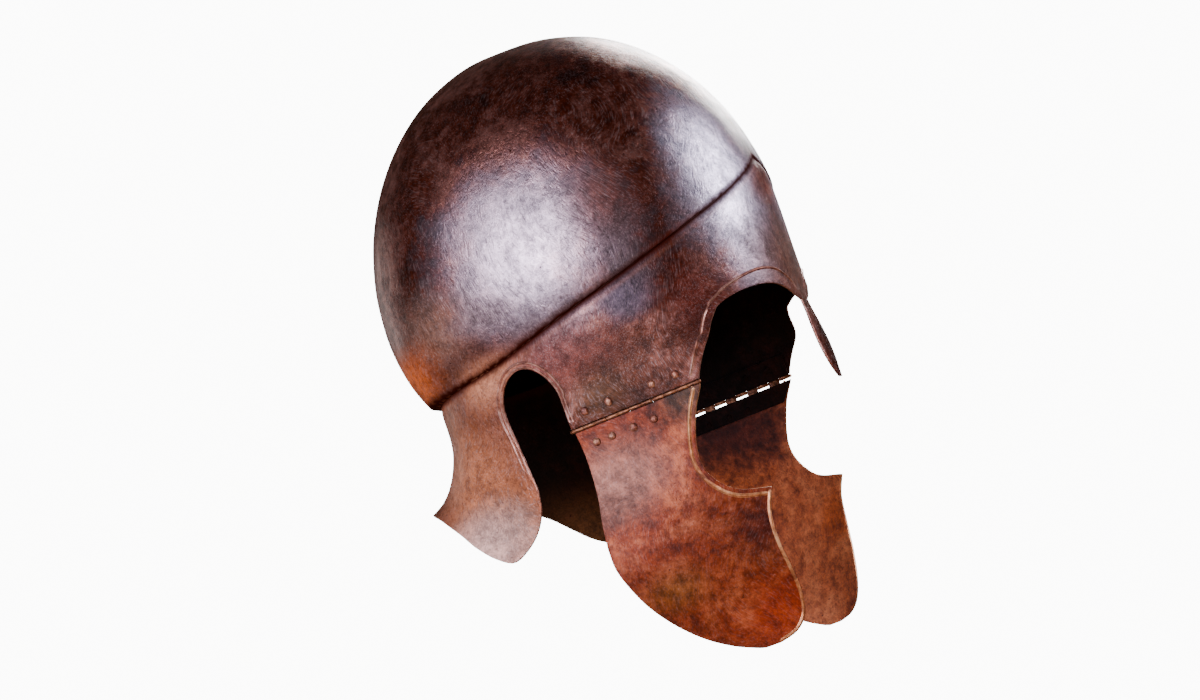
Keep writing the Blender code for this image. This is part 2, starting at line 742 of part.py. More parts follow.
def make_pin(name, collection, material):
    """Make a hinge pin with a peened head at each end."""
    half = (HINGE_FRONT - HINGE_REAR) / 2 + CLEARANCE
    head = BARREL_RADIUS - CLEARANCE
    upper_half = [
        (0, half + PIN_HEAD), (head * HEAD_RADIUS_SHARE, half + PIN_HEAD * HEAD_HEIGHT_SHARE),
        (head, half), (PIN_RADIUS, half),
    ]
    profile = upper_half + [(radius, -height) for radius, height in reversed(upper_half)]
    pin = make_turned(name, profile, HINGE_SIDES, collection, material)
    pin.rotation_euler.x = math.pi / 2
    return pin


def make_rivet(name, collection, material):
    """Make a rivet along +Z, with its domed head outside the plate and its burr inside the leaf."""
    under_head = WALL / 2 + CLEARANCE
    over_burr = -(BARREL_RADIUS + CLEARANCE)
    profile = [
        (0, under_head + RIVET_DOME),
        (RIVET_HEAD * HEAD_RADIUS_SHARE, under_head + RIVET_DOME * HEAD_HEIGHT_SHARE),
        (RIVET_HEAD, under_head), (RIVET_SHANK, under_head), (RIVET_SHANK, over_burr),
        (RIVET_BURR, over_burr), (0, over_burr - RIVET_BURR_DOME),
    ]
    return make_turned(name, profile, RIVET_SIDES, collection, material)


def make_hinge(side, sign, collection, cutters, finishes):
    """Make one cheek piece with its hinge leaves, pin and rivets, all set on the hinge axis."""
    axis = bpy.data.objects.new(f"hinge_axis_{side}", None)
    axis.location = hinge_place(sign)
    collection.objects.link(axis)
    sheet = finishes["cheek_piece"]
    cheek, drill = make_cheek_piece(f"cheek_piece_{side}", sign, collection, cutters, sheet)
    held = [cheek, drill, make_pin(f"hinge_pin_{side}", collection, finishes["hinge"])]
    for level in ("upper", "lower"):
        name = f"hinge_leaf_{level}_{side}"
        leaf, tools = make_leaf(name, level, sign, collection, cutters, finishes["hinge"])
        held += [leaf, *tools]
        places, rise = rivet_places(level)
        for number, ahead in enumerate(places, start=1):
            rivet = make_rivet(f"rivet_{level}_{side}_{number}", collection, finishes["rivet"])
            rivet.rotation_euler.y = sign * math.pi / 2
            rivet.location = hinge_point(ahead, rise)
            held.append(rivet)
    for item in held:
        item.parent = axis


def main():
    """Clear the scene and make the helmet."""
    for item in list(bpy.data.objects):
        bpy.data.objects.remove(item, do_unlink=True)
    helmet = bpy.data.collections.new("attic_helmet")
    cutters = bpy.data.collections.new("cutters")
    bpy.context.scene.collection.children.link(helmet)
    bpy.context.scene.collection.children.link(cutters)
    finishes = {slot: make_material(slot) for slot in FINISHES}
    make_bowl(helmet, cutters, finishes["bowl"])
    for side, sign in (("left", 1), ("right", -1)):
        make_hinge(side, sign, helmet, cutters, finishes)
    for tool in cutters.objects:
        tool.hide_render = True
        tool.display_type = "WIRE"


main()
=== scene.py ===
"""Attic helmet, dressed: smooth hammered sheets with embossed lines, patinated bronze, soft light.

Sizes are millimetres in the tables below and metres in the meshes. A place on the helmet is
worked out as side, ahead and height above the brow line, and a bearing runs from 0 degrees at
the face to 180 at the back. The wearer's right side is at -X and the face looks towards -Y.
"""

import logging
import math
from dataclasses import dataclass
from enum import Enum
from typing import Any, Callable, Optional, Sequence

import bmesh
import bpy
import numpy as np
from mathutils import Matrix, Vector


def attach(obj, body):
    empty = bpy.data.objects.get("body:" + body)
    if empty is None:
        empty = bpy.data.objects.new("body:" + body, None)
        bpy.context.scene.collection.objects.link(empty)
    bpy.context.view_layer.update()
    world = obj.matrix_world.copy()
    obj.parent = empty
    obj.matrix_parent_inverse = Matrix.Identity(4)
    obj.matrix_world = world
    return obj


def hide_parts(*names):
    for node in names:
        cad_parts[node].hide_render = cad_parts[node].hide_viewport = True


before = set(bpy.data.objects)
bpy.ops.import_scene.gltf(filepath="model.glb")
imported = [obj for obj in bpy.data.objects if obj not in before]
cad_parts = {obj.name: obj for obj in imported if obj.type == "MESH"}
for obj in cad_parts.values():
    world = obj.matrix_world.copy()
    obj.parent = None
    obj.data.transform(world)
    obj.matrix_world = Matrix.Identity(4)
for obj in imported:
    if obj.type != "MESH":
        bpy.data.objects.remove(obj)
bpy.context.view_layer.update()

MM = 0.001
SEAT_HEIGHT = 175.3
WALL = 1.2
HINGE_SIDE = 79.0
HINGE_HEIGHT = -45.0
HINGE_REAR = -8.5
HINGE_FRONT = 67.5
EDGE_GAP = 2.0
FLAT_BAND = 15.0
SEAM_LAP = 0.65
MERGE_MM = 0.02
MIRROR_MERGE_MM = 0.05
RIM_ROUNDING_MM = 0.3
RIM_SHARPEST = 65
NORMAL_STEP = 0.1
HELMET_MIDDLE = Vector((0, 0, -SEAT_HEIGHT * MM))
Array = np.ndarray

log = logging.getLogger("attic_helmet")


class Side(Enum):
    """The wearer's sides, with the sign of X on each."""

    RIGHT = -1
    LEFT = 1

    @property
    def word(self) -> str:
        """Return the side's name as the nodes spell it."""
        return self.name.lower()


class Level(Enum):
    """The two rows of leaves and rivets at a hinge."""

    UPPER = 1
    LOWER = -1

    @property
    def word(self) -> str:
        """Return the level's name as the nodes spell it."""
        return self.name.lower()


# Shape helpers, all on whole arrays


def mix(low: Any, high: Any, share: Any) -> Any:
    """Return low plus a share of the way to high."""
    return low + (high - low) * share


def ease(share: Any) -> Array:
    """Return 3 s squared minus 2 s cubed, which starts and ends level."""
    held = np.clip(share, 0.0, 1.0)
    return held * held * (3 - 2 * held)


def bump_curve(place: Any) -> Array:
    """Return half a cosine hill: 1 in the middle and 0, level, at -1 and 1."""
    return 0.5 + 0.5 * np.cos(math.pi * np.clip(place, -1.0, 1.0))


def table_value(table: Sequence[Sequence[float]], position: Any) -> Array:
    """Read a cubic Hermite curve through a table, its slopes taken from each row's neighbours.

    Args:
        table: rows of (position, value).
        position: where to read it.

    Returns:
        The value at each position, held level outside the table.
    """
    rows = np.asarray(table, float)
    place = np.asarray(position, float)
    where, value = rows[:, 0], rows[:, 1]
    count = len(rows)
    before = np.maximum(np.arange(count) - 1, 0)
    after = np.minimum(np.arange(count) + 1, count - 1)
    slope = (value[after] - value[before]) / (where[after] - where[before])
    index = np.searchsorted(where[1:-1], place, side="left")
    span = where[index + 1] - where[index]
    local = np.clip((place - where[index]) / span, 0.0, 1.0)
    square, cube = local ** 2, local ** 3
    start = value[index] * (2 * cube - 3 * square + 1) + slope[index] * span * (cube - 2 * square + local)
    return start + value[index + 1] * (3 * square - 2 * cube) + slope[index + 1] * span * (cube - square)


def along_points(points: Sequence[Sequence[float]], share: Any) -> Array:
    """Read a smooth curve through equal steps of points, its slopes taken from the neighbours.

    Args:
        points: the points in order, with any number of coordinates.
        share: the places along the curve, from 0 to 1.

    Returns:
        One row of coordinates for each share.
    """
    rows = np.asarray(points, float)
    padded = np.vstack([2 * rows[0] - rows[1], rows, 2 * rows[-1] - rows[-2]])
    place = np.clip(np.atleast_1d(share), 0.0, 1.0) * (len(rows) - 1)
    index = np.minimum(place.astype(int), len(rows) - 2)
    local = (place - index)[:, None]
    start, end = rows[index], rows[index + 1]
    start_slope = (end - padded[index]) / 2
    end_slope = (padded[index + 3] - start) / 2
    square, cube = local ** 2, local ** 3
    return (start * (2 * cube - 3 * square + 1) + start_slope * (cube - 2 * square + local)
            + end * (3 * square - 2 * cube) + end_slope * (cube - square))


def unit(vectors: Array) -> Array:
    """Return vectors of length 1."""
    return vectors / np.maximum(np.linalg.norm(vectors, axis=-1, keepdims=True), 1e-9)


def grid_faces(rows: int, columns: int, first: int = 0, closed: bool = False) -> Array:
    """Return the four-sided faces of a grid of points.

    Args:
        rows: number of rows of points.
        columns: number of points in a row.
        first: number of the grid's first point.
        closed: whether each row closes on itself.

    Returns:
        One row of four point numbers for each face.
    """
    number = first + np.arange(rows * columns).reshape(rows, columns)
    right = np.roll(number, -1, axis=1) if closed else number[:, 1:]
    left = number if closed else number[:, :-1]
    return np.stack([left[:-1], left[1:], right[1:], right[:-1]], axis=-1).reshape(-1, 4)


class Sheet:
    """Points, faces and point values that are gathered into one mesh."""

    def __init__(self) -> None:
        """Start with nothing."""
        self.points: list[Array] = []
        self.faces: list[Array] = []
        self.slots: list[Array] = []
        self.marks: dict[str, list[Array]] = {}
        self.count = 0

    def add(self, grid: Array, closed: bool = False, slot: int = 0, **marks: Any) -> None:
        """Add a grid of points in millimetres.

        Args:
            grid: points by row and column.
            closed: whether each row closes on itself.
            slot: number of the finish that its faces take.
            marks: values of the point attributes there, one number or one for each point.
        """
        rows, columns = grid.shape[:2]
        self.points.append(grid.reshape(-1, 3))
        self.faces.append(grid_faces(rows, columns, self.count, closed))
        self.slots.append(np.full(len(self.faces[-1]), slot))
        for name in set(self.marks) | set(marks):
            known = self.marks.setdefault(name, [np.zeros(self.count)] if self.count else [])
            value = np.broadcast_to(np.asarray(marks.get(name, 0.0), float), (rows, columns))
            known.append(value.reshape(-1))
        self.count += rows * columns

    def mesh(self, name: str, place: Optional[Callable[[Array], Array]] = None) -> bpy.types.Mesh:
        """Make the mesh, merge its doubles and shade it smooth.

        Args:
            name: the mesh's name.
            place: turns points in millimetres into points of the object's frame.

        Returns:
            The mesh, in metres.
        """
        points = np.vstack(self.points)
        points = place(points) if place else points
        data = bpy.data.meshes.new(name)
        data.from_pydata((points * MM).tolist(), [], np.vstack(self.faces).tolist())
        data.polygons.foreach_set("material_index", np.concatenate(self.slots).astype(np.int32))
        for mark, values in self.marks.items():
            data.attributes.new(mark, "FLOAT", "POINT").data.foreach_set("value", np.concatenate(values))
        joined = bmesh.new()
        joined.from_mesh(data)
        bmesh.ops.remove_doubles(joined, verts=joined.verts, dist=MERGE_MM * MM)
        joined.to_mesh(data)
        joined.free()
        data.shade_smooth()
        return data


def helmet_place(points: Array) -> Array:
    """Turn (side, ahead, height above the brow) into the object's frame."""
    return np.stack([points[:, 0], -points[:, 1], points[:, 2] - SEAT_HEIGHT], axis=1)


@dataclass(frozen=True)
class Unevenness:
    """The slow unevenness that hammering leaves in a bowl, none of it near the hinges."""

    depth: float = 0.30
    lengths: tuple[float, ...] = (95.0, 70.0, 52.0, 40.0, 33.0, 27.0)
    middle: tuple[float, float, float] = (0.0, 0.0, -110.0)
    hinge_top: float = -205.0
    hinge_back: float = 25.0
    fade: float = 25.0
    seed: int = 12

    def move(self, points: Array) -> Array:
        """Push points in and out from the middle by a sum of plane waves, each of its own length and way.

        Args:
            points: places in the object's frame, in millimetres.

        Returns:
            The moved points.
        """
        random = np.random.default_rng(self.seed)
        total = np.zeros(len(points))
        for length in self.lengths:
            for way in unit(random.normal(0, 1, (3, 3))):
                phase = random.uniform(0, 2 * math.pi)
                total += np.sin(points @ way * (2 * math.pi / length) + phase) * length / self.lengths[0]
        total *= self.depth / 2
        clear = np.maximum(ease((points[:, 2] - self.hinge_top) / self.fade),
                           ease((points[:, 1] - self.hinge_back) / self.fade))
        return points + unit(points - np.array(self.middle)) * (total * clear)[:, None]

    def shape(self, data: bpy.types.Mesh) -> None:
        """Move all points of a mesh."""
        places = np.empty(len(data.vertices) * 3)
        data.vertices.foreach_get("co", places)
        moved = self.move(places.reshape(-1, 3) / MM) * MM
        data.vertices.foreach_set("co", moved.reshape(-1))
        data.update()


def add_piece(name: str, data: bpy.types.Mesh, body: str,
              *materials: bpy.types.Material) -> bpy.types.Object:
    """Show a mesh as a piece that moves with a body.

    Args:
        name: the piece's name.
        data: its mesh, already in place.
        body: the body that it rides on.
        materials: its finishes in slot order.

    Returns:
        The new object.
    """
    item = bpy.data.objects.new(name, data)
    bpy.context.scene.collection.objects.link(item)
    for material in materials:
        data.materials.append(material)
    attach(item, body)
    log.info("piece %s rides on %s", name, body)
    return item


def face_away(data: bpy.types.Mesh, middle: Optional[Vector] = None) -> None:
    """Turn a closed mesh's faces outwards, or an open sheet's faces away from a middle point."""
    sheet = bmesh.new()
    sheet.from_mesh(data)
    bmesh.ops.recalc_face_normals(sheet, faces=sheet.faces)
    if middle is not None and sum(face.normal.dot(face.calc_center_median() - middle)
                                  for face in sheet.faces) < 0:
        bmesh.ops.reverse_faces(sheet, faces=sheet.faces)
    sheet.to_mesh(data)
    sheet.free()


def add_wall(item: bpy.types.Object, thickness: float) -> None:
    """Give a sheet its wall on the inner side, with its own finish inside and on the rim."""
    wall = item.modifiers.new("bronze wall", "SOLIDIFY")
    wall.thickness = thickness * MM
    wall.offset = -1
    wall.use_quality_normals = True
    wall.use_even_offset = True
    wall.material_offset = 1
    wall.material_offset_rim = 2
    round_off = item.modifiers.new("rim rounding", "BEVEL")
    round_off.width = RIM_ROUNDING_MM * MM
    round_off.segments = 2
    round_off.limit_method = "ANGLE"
    round_off.angle_limit = math.radians(RIM_SHARPEST)
    round_off.harden_normals = False


# Bowl


@dataclass(frozen=True)
class Bowl:
    """The bowl's sheet: dome, crease, brow wall, nasal, temples, ear arches and neck guard."""

    wall: float = WALL
    crown_height: float = 176.5
    equator_height: float = 45.0
    dome_front: float = 116.5
    dome_rear: float = 118.0
    dome_side: float = 91.0
    dome_roundness: float = 2.06
    dome_plan: float = 2.15
    dome_tuck: float = 9.0
    tuck_power: float = 2.2
    crease_peak: float = 67.0
    crease_rear: float = 2.5
    ledge_rear: float = 6.0
    ledge_fall: float = 3.0
    boss_rise: float = 1.8
    boss_below_peak: float = 9.0
    boss_spread: float = 8.0
    boss_bearing: float = 9.0
    brow_front: float = 114.0
    brow_plan: float = 2.4
    temple_flare: float = 2.0
    temple_plan: float = 6.0
    temple_turn_height: float = -8.0
    eye_top: float = -5.0
    nasal_root: float = -17.0
    nasal_length: float = 46.0
    nasal_width: float = 19.0
    nasal_lean: float = 3.5
    nasal_root_share: float = 0.6
    nasal_crown: float = 0.9
    ear_top: float = -3.5
    ear_spring: float = -26.0
    ear_rear: float = -43.0
    neck_rear: float = 101.5
    neck_plan: float = 2.3
    neck_waist: float = -11.0
    neck_belt_rear: float = -9.0
    guard_rear_height: float = -51.0
    lobe_drop: float = 47.0
    lobe_bearing: float = 131.0
    flare_rear: float = 30.0
    temple_face: float = HINGE_SIDE + WALL / 2
    hinge_front: float = HINGE_FRONT
    hinge_rear: float = HINGE_REAR
    hinge_edge: float = HINGE_HEIGHT + EDGE_GAP
    flat_band: float = FLAT_BAND
    leaf_top: float = -31.7
    temple_lean: float = 0.15
    temple_flat_height: float = -39.6
    temple_ease: float = 8.0
    seam_lap: float = SEAM_LAP
    groove_depth: float = 0.7
    groove_width: float = 2.8
    groove_start: float = 0.55
    groove_on_dome: float = 0.8
    flare_power: int = 2
    flare_lip_power: int = 12
    flare_lip_share: float = 0.2
    nasal_blend: float = 0.3

    crease_rise = ((0, 1.0), (14, 0.80), (31, 0.595), (57, 0.345), (90, 0.15), (115, 0.035), (140, 0.0),
                   (180, 0.0))
    ledge_share = ((0, 0.14), (60, 0.24), (120, 0.30), (145, 0.55), (165, 0.92), (180, 1.0))
    flare_share = ((110, 0.05), (120, 0.13), (132, 0.38), (141, 0.56), (155, 0.68), (168, 0.86), (180, 1.0))
    eye_arch = ((2.6, 0.315), (5.5, 0.25), (9.5, 0.13), (15, 0.03), (22, 0.0), (30, 0.04), (36, 0.13))
    eye_rear = ((36, 0.13), (40.5, 0.30), (44, 0.50), (47, 0.74), (49.5, 1.0))
    guard_edge = ((117.4, 0.32), (118.4, 0.55), (121.5, 0.76), (126, 0.92), (131, 1.0), (136, 0.88),
                  (141, 0.66), (147, 0.41), (156, 0.19), (167, 0.06), (180, 0.0))
    nasal_leaf = ((0.0, 0.6), (0.15, 0.68), (0.35, 0.90), (0.55, 1.0), (0.75, 0.84), (0.9, 0.50), (1.0, 0.18))

    nasal_columns: int = 6
    eye_columns: int = 30
    temple_columns: int = 22
    ear_columns: int = 24
    guard_columns: int = 36
    dome_rows: int = 72
    band_rows: int = 30
    nasal_rows: int = 26
    temple_rows: int = 12
    guard_rows: int = 26
    seam_rows: int = 7
    band_crowding: float = 1.8
    guard_crowding: float = 0.85
    bearing_tries: int = 12

    def plan_radius(self, bearing: Array, front: float, rear: float, side: float, power: float) -> Array:
        """Return the radius of a superellipse: |cos|/reach and |sin|/side, each to the power, add to 1."""
        angle = np.radians(bearing)
        reach = np.where(np.asarray(bearing) <= 90, front, rear)
        ahead, across = np.abs(np.cos(angle)) / reach, np.abs(np.sin(angle)) / side
        return (ahead ** power + across ** power) ** (-1 / power)

    def crease_height(self, bearing: Array) -> Array:
        """Return the height of the crease line, low at the back and peaked over the forehead."""
        return mix(self.crease_rear, self.crease_peak, table_value(self.crease_rise, bearing))

    def dome_arc(self, height: Array) -> Array:
        """Return how far round the dome's profile a height lies, from 0 at the crown."""
        rise = (height - self.equator_height) / (self.crown_height - self.equator_height)
        upper = np.arccos(np.minimum(np.maximum(rise, 0) ** (self.dome_roundness / 2), 1.0))
        return np.where(rise < 0, math.pi / 2 - rise, upper)

    def dome_point(self, bearing: Array, arc: Array) -> tuple[Array, Array]:
        """Return the dome's radius and height, a superellipse above the equator and a tuck below it."""
        full = self.plan_radius(bearing, self.dome_front, self.dome_rear, self.dome_side, self.dome_plan)
        rise = self.crown_height - self.equator_height
        fall = np.maximum(arc - math.pi / 2, 0) * rise
        sink = fall / (self.equator_height - self.crease_rear)
        share = 2 / self.dome_roundness
        held = np.minimum(arc, math.pi / 2)
        upper = full * np.sin(held) ** share
        height = self.equator_height + rise * np.maximum(np.cos(held), 0) ** share
        below = arc > math.pi / 2
        return (np.where(below, full - self.dome_tuck * sink ** self.tuck_power, upper),
                np.where(below, self.equator_height - fall, height))

    def wall_top(self, bearing: Array) -> tuple[Array, Array]:
        """Return the radius and height of the wall's upper edge, set in and down from the dome."""
        radius, height = self.dome_point(bearing, self.dome_arc(self.crease_height(bearing)))
        share = table_value(self.ledge_share, bearing)
        return radius - self.ledge_rear * share, height - self.ledge_fall * share

    def temple_radius(self, bearing: Array) -> Array:
        """Return the plan radius at the hinges: flat temples between two superellipses."""
        front = math.degrees(math.atan2(self.temple_face, self.hinge_front))
        rear = math.degrees(math.atan2(self.temple_face, self.hinge_rear))
        power = self.temple_plan
        side = self.temple_face / (1 - (self.hinge_front / self.brow_front) ** power) ** (1 / power)
        before = self.plan_radius(bearing, self.brow_front, self.brow_front, side, power)
        behind = self.plan_radius(bearing, self.brow_front, self.neck_rear, self.temple_face, self.neck_plan)
        flat = self.temple_face / np.maximum(np.sin(np.radians(bearing)), 0.05)
        return np.where(bearing < front, before, np.where(bearing <= rear, flat, behind))

    def wall_radius(self, bearing: Array, height: Array) -> Array:
        """Return the wall's outer radius: dome edge, then brow, then temple plan, eased by height."""
        bearing, height = np.broadcast_arrays(np.asarray(bearing, float), np.asarray(height, float))
        top_radius, top_height = self.wall_top(bearing)
        flat = self.hinge_edge + self.flat_band
        side = self.temple_face + self.temple_flare
        brow = self.plan_radius(bearing, self.brow_front, self.neck_rear, side, self.brow_plan)
        radius = mix(top_radius, brow, ease((top_height - height) / (top_height - flat)))
        turned = ease((self.temple_turn_height - height) / (self.temple_turn_height - flat))
        radius = mix(radius, self.temple_radius(bearing), turned)
        radius = radius + self.temple_lean * ease((height - self.temple_flat_height) / self.temple_ease)
        boss = ((height - self.crease_peak + self.boss_below_peak) / self.boss_spread) ** 2
        radius = radius + self.boss_rise * np.exp(-boss - (bearing / self.boss_bearing) ** 2)
        edge = self.guard_rear_height - self.lobe_drop * table_value(
            self.guard_edge, np.maximum(bearing, self.lobe_bearing))
        fall = np.clip((self.neck_waist - height) / (self.neck_waist - edge), 0, 1)
        carried = mix(fall ** self.flare_power, fall ** self.flare_lip_power, self.flare_lip_share)
        flare = self.flare_rear * table_value(self.flare_share, bearing) * carried
        return radius + np.where(bearing > self.flare_share[0][0], flare, 0.0)

    def wall_point(self, bearing: Array, height: Array) -> Array:
        """Return points of the wall's outer face, its radius turned to side and ahead."""
        bearing, height = np.broadcast_arrays(np.asarray(bearing, float), np.asarray(height, float))
        radius = self.wall_radius(bearing, height)
        angle = np.radians(bearing)
        side = np.where((bearing <= 0) | (bearing >= 180), 0.0, radius * np.sin(angle))
        return np.stack([side, radius * np.cos(angle), height], axis=-1)

    def bearing_at(self, ahead: Array, height: Array) -> Array:
        """Return the bearing where the wall passes a place ahead, found by repeated steps."""
        bearing = np.degrees(np.arctan2(self.temple_face, ahead)) + 0 * np.asarray(height, float)
        for _ in range(self.bearing_tries):
            radius = self.wall_radius(bearing, height)
            bearing = np.degrees(np.arctan2(np.sqrt(radius ** 2 - np.asarray(ahead) ** 2), ahead))
        return bearing

    def eye_line(self, table: Sequence[Sequence[float]], share: Array) -> Array:
        """Return bearing and height along a part of the eye's edge, a smooth curve through its table."""
        rows = [[bearing, mix(self.eye_top, self.hinge_edge, drop)] for bearing, drop in table]
        if table is self.eye_arch:
            rows[0][1] = self.nasal_root
        return along_points(rows, share)

    def ear_line(self, share: Array) -> Array:
        """Return bearing and height round the ear's arch, half an ellipse from front to back."""
        angle = math.pi * np.asarray(share, float)
        middle, half = (self.hinge_rear + self.ear_rear) / 2, (self.hinge_rear - self.ear_rear) / 2
        height = mix(self.ear_spring, self.ear_top, np.sin(angle))
        return np.stack([self.bearing_at(middle + half * np.cos(angle), height), height], axis=-1)

    def guard_line(self, share: Array) -> Array:
        """Return bearing and height along the neck guard's lower edge, from the lobe to the back."""
        rows = [(bearing, self.guard_rear_height - self.lobe_drop * drop)
                for bearing, drop in self.guard_edge]
        return along_points(rows, share)

    def belt(self) -> Array:
        """Return bearing and height of each column where the wall meets nasal, eye, ear and guard."""
        nasal = np.arange(self.nasal_columns)[:, None] / self.nasal_columns
        nasal = np.hstack([self.eye_arch[0][0] * nasal, np.full_like(nasal, self.nasal_root)])
        eye = self.eye_line(self.eye_arch, np.arange(self.eye_columns) / self.eye_columns)
        corner = self.eye_line(self.eye_rear, 0.0)[0]
        ear_corner = np.array([float(self.bearing_at(self.hinge_rear, self.ear_spring)), self.ear_spring])
        temple = mix(corner, ear_corner, np.arange(self.temple_columns)[:, None] / self.temple_columns)
        ear = self.ear_line(np.arange(self.ear_columns) / self.ear_columns)
        lobe = float(self.bearing_at(self.ear_rear, self.ear_spring))
        share = np.arange(self.guard_columns + 1) / self.guard_columns
        guard = np.stack([mix(lobe, 180.0, share),
                          mix(self.ear_spring, self.neck_belt_rear, ease(share))], axis=1)
        return np.vstack([nasal, eye, temple, ear, guard])

    def dome_grid(self, belt: Array) -> Array:
        """Return the dome: bearings across and even shares of its profile's arc down."""
        down = np.linspace(0, 1, self.dome_rows + 1)[:, None]
        arc = self.dome_arc(self.crease_height(belt[:, 0]))[None] * down
        bearing = np.broadcast_to(belt[:, 0], arc.shape)
        radius, height = self.dome_point(bearing, arc)
        side = np.where((bearing <= 0) | (bearing >= 180), 0.0, radius * np.sin(np.radians(bearing)))
        return np.stack([side, radius * np.cos(np.radians(bearing)), height], axis=-1)

    def band_grid(self, belt: Array) -> tuple[Array, Array]:
        """Return the wall from crease to belt, closer rows on top, with the groove under the dome.

        Args:
            belt: bearing and height of each column's lower end.

        Returns:
            The points, and how deep in the groove each lies, from 0 to 1.
        """
        share = (np.linspace(0, 1, self.band_rows + 1) ** self.band_crowding)[:, None]
        top = self.wall_top(belt[:, 0])[1][None]
        height = mix(top, belt[None, :, 1], share)
        points = self.wall_point(belt[None, :, 0], height)
        depth = np.exp(-((top - height) / self.groove_width) ** 2)
        depth[0] = self.groove_start
        scale = 1 - self.groove_depth * depth / np.linalg.norm(points[..., :2], axis=-1)
        points[..., :2] *= scale[..., None]
        return points, depth

    def nasal_grid(self, belt: Array) -> Array:
        """Return the nasal, a leaf whose half width follows its table, leaning out and a little crowned."""
        root = self.wall_point(belt[:self.nasal_columns + 1, 0], belt[:self.nasal_columns + 1, 1])
        down = np.linspace(0, 1, self.nasal_rows + 1)
        width = table_value(self.nasal_leaf, down) / self.nasal_root_share
        blend = ease(down / self.nasal_blend)
        swell = mix(1.0, self.nasal_width * self.nasal_root_share / 2 / root[-1, 0], blend)
        across = root[:, 0] / root[-1, 0]
        side = root[-1, 0] * (width * swell)[:, None] * across
        crown = self.nasal_crown * blend[:, None] * (1 - across ** 2)
        ahead = root[None, :, 1] + self.nasal_lean * down[:, None] + crown
        height = np.broadcast_to((self.nasal_root - self.nasal_length * down)[:, None], side.shape)
        return np.stack([side, ahead, height], axis=-1)

    def temple_grid(self) -> Array:
        """Return the temple between the eye's rear edge and the ear's front edge, straight rows across."""
        corner = self.eye_line(self.eye_rear, 0.0)[0, 1]
        share = np.arange(self.temple_rows) / self.temple_rows
        low = np.linspace(self.leaf_top, self.hinge_edge, self.seam_rows)
        low[-1] -= self.seam_lap
        front = np.concatenate([mix(corner, self.leaf_top, share), low])
        rear = np.concatenate([mix(self.ear_spring, self.leaf_top, share), low])
        falls = [(drop, bearing) for bearing, drop in self.eye_rear]
        start = table_value(falls, (self.eye_top - front) / (self.eye_top - self.hinge_edge))
        end = self.bearing_at(self.hinge_rear, rear)
        across = np.arange(self.temple_columns + 1) / self.temple_columns
        bearing = mix(start[:, None], end[:, None], across)
        return self.wall_point(bearing, mix(front[:, None], rear[:, None], across))

    def guard_grid(self, belt: Array) -> Array:
        """Return the neck guard, each column carried from the belt to the lower edge."""
        top = belt[-self.guard_columns - 1:]
        low = self.guard_line(np.arange(self.guard_columns + 1) / self.guard_columns)
        share = ((np.arange(self.guard_rows + 1) / self.guard_rows) ** self.guard_crowding)[:, None]
        bearing = mix(top[None, :, 0], low[None, :, 0], share)
        bearing[:, -1] = 180.0
        return self.wall_point(bearing, mix(top[None, :, 1], low[None, :, 1], share))

    def build(self) -> bpy.types.Mesh:
        """Return the whole outer sheet, both halves joined, with its groove and dome marked."""
        belt = self.belt()
        dome = self.dome_grid(belt)
        band, groove = self.band_grid(belt)
        sheet = Sheet()
        crease = np.zeros(dome.shape[:2])
        crease[-1] = self.groove_on_dome
        sheet.add(dome, dome=1.0, groove=crease)
        sheet.add(np.stack([dome[-1], mix(dome[-1], band[0], 0.5), band[0]]), groove=1.0)
        sheet.add(band, groove=groove)
        sheet.add(self.nasal_grid(belt))
        sheet.add(self.temple_grid())
        sheet.add(self.guard_grid(belt))
        half = sheet.mesh("bowl_sheet", helmet_place)
        whole = bmesh.new()
        whole.from_mesh(half)
        everything = whole.verts[:] + whole.edges[:] + whole.faces[:]
        bmesh.ops.mirror(whole, geom=everything, axis="X", merge_dist=MIRROR_MERGE_MM * MM)
        bmesh.ops.remove_doubles(whole, verts=whole.verts, dist=MERGE_MM * MM)
        whole.to_mesh(half)
        whole.free()
        face_away(half, HELMET_MIDDLE)
        Unevenness().shape(half)
        return half

    def dress(self, outer: bpy.types.Material, inner: bpy.types.Material, rim: bpy.types.Material) -> None:
        """Show the bowl with its outer, inner and rim finishes."""
        item = add_piece("bowl_sheet", self.build(), "bowl", outer, inner, rim)
        add_wall(item, self.wall)
        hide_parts("helmet_bowl")


# Embossed lines


@dataclass(frozen=True)
class EmbossedLine:
    """A raised line that runs beside an edge of a sheet."""

    offset: float
    width: float
    rise: float
    start_fade: float = 0.02
    end_fade: float = 0.02
    swell: float = 0.0
    swell_place: float = 0.5
    swell_reach: float = 0.2
    sink: float = 0.06
    profile_points: int = 11

    def strip(self, edge: Array, inwards: Array, seat: Callable[[Array], tuple[Array, Array]]) -> Array:
        """Carry a half-cosine profile along a line that lies a fixed way in from an edge.

        Args:
            edge: points along the edge.
            inwards: unit vectors in the sheet, away from the edge.
            seat: returns the sheet's point and outward unit normal nearest to each given point.

        Returns:
            A grid of points: places along the line by places across the profile.
        """
        across = np.linspace(-1, 1, self.profile_points)
        along = np.linspace(0, 1, len(edge))
        fade = ease(along / max(self.start_fade, 1e-6)) * ease((1 - along) / max(self.end_fade, 1e-6))
        beside = (along[:, None] - self.swell_place) / self.swell_reach
        offset = self.offset + self.swell * np.exp(-beside ** 2)
        reach = offset + across[None] * self.width / 2
        points = edge[:, None] + inwards[:, None] * reach[..., None]
        seated, normal = seat(points)
        lift = self.rise * fade[:, None] * bump_curve(across)[None] - self.sink
        return seated + normal * lift[..., None]


def inward_ways(edge: Array, normals: Array, sign: float) -> Array:
    """Return unit vectors across an edge and along its sheet: the normal crossed with the tangent."""
    tangent = unit(np.gradient(edge, axis=0))
    return unit(np.cross(normals, tangent)) * sign


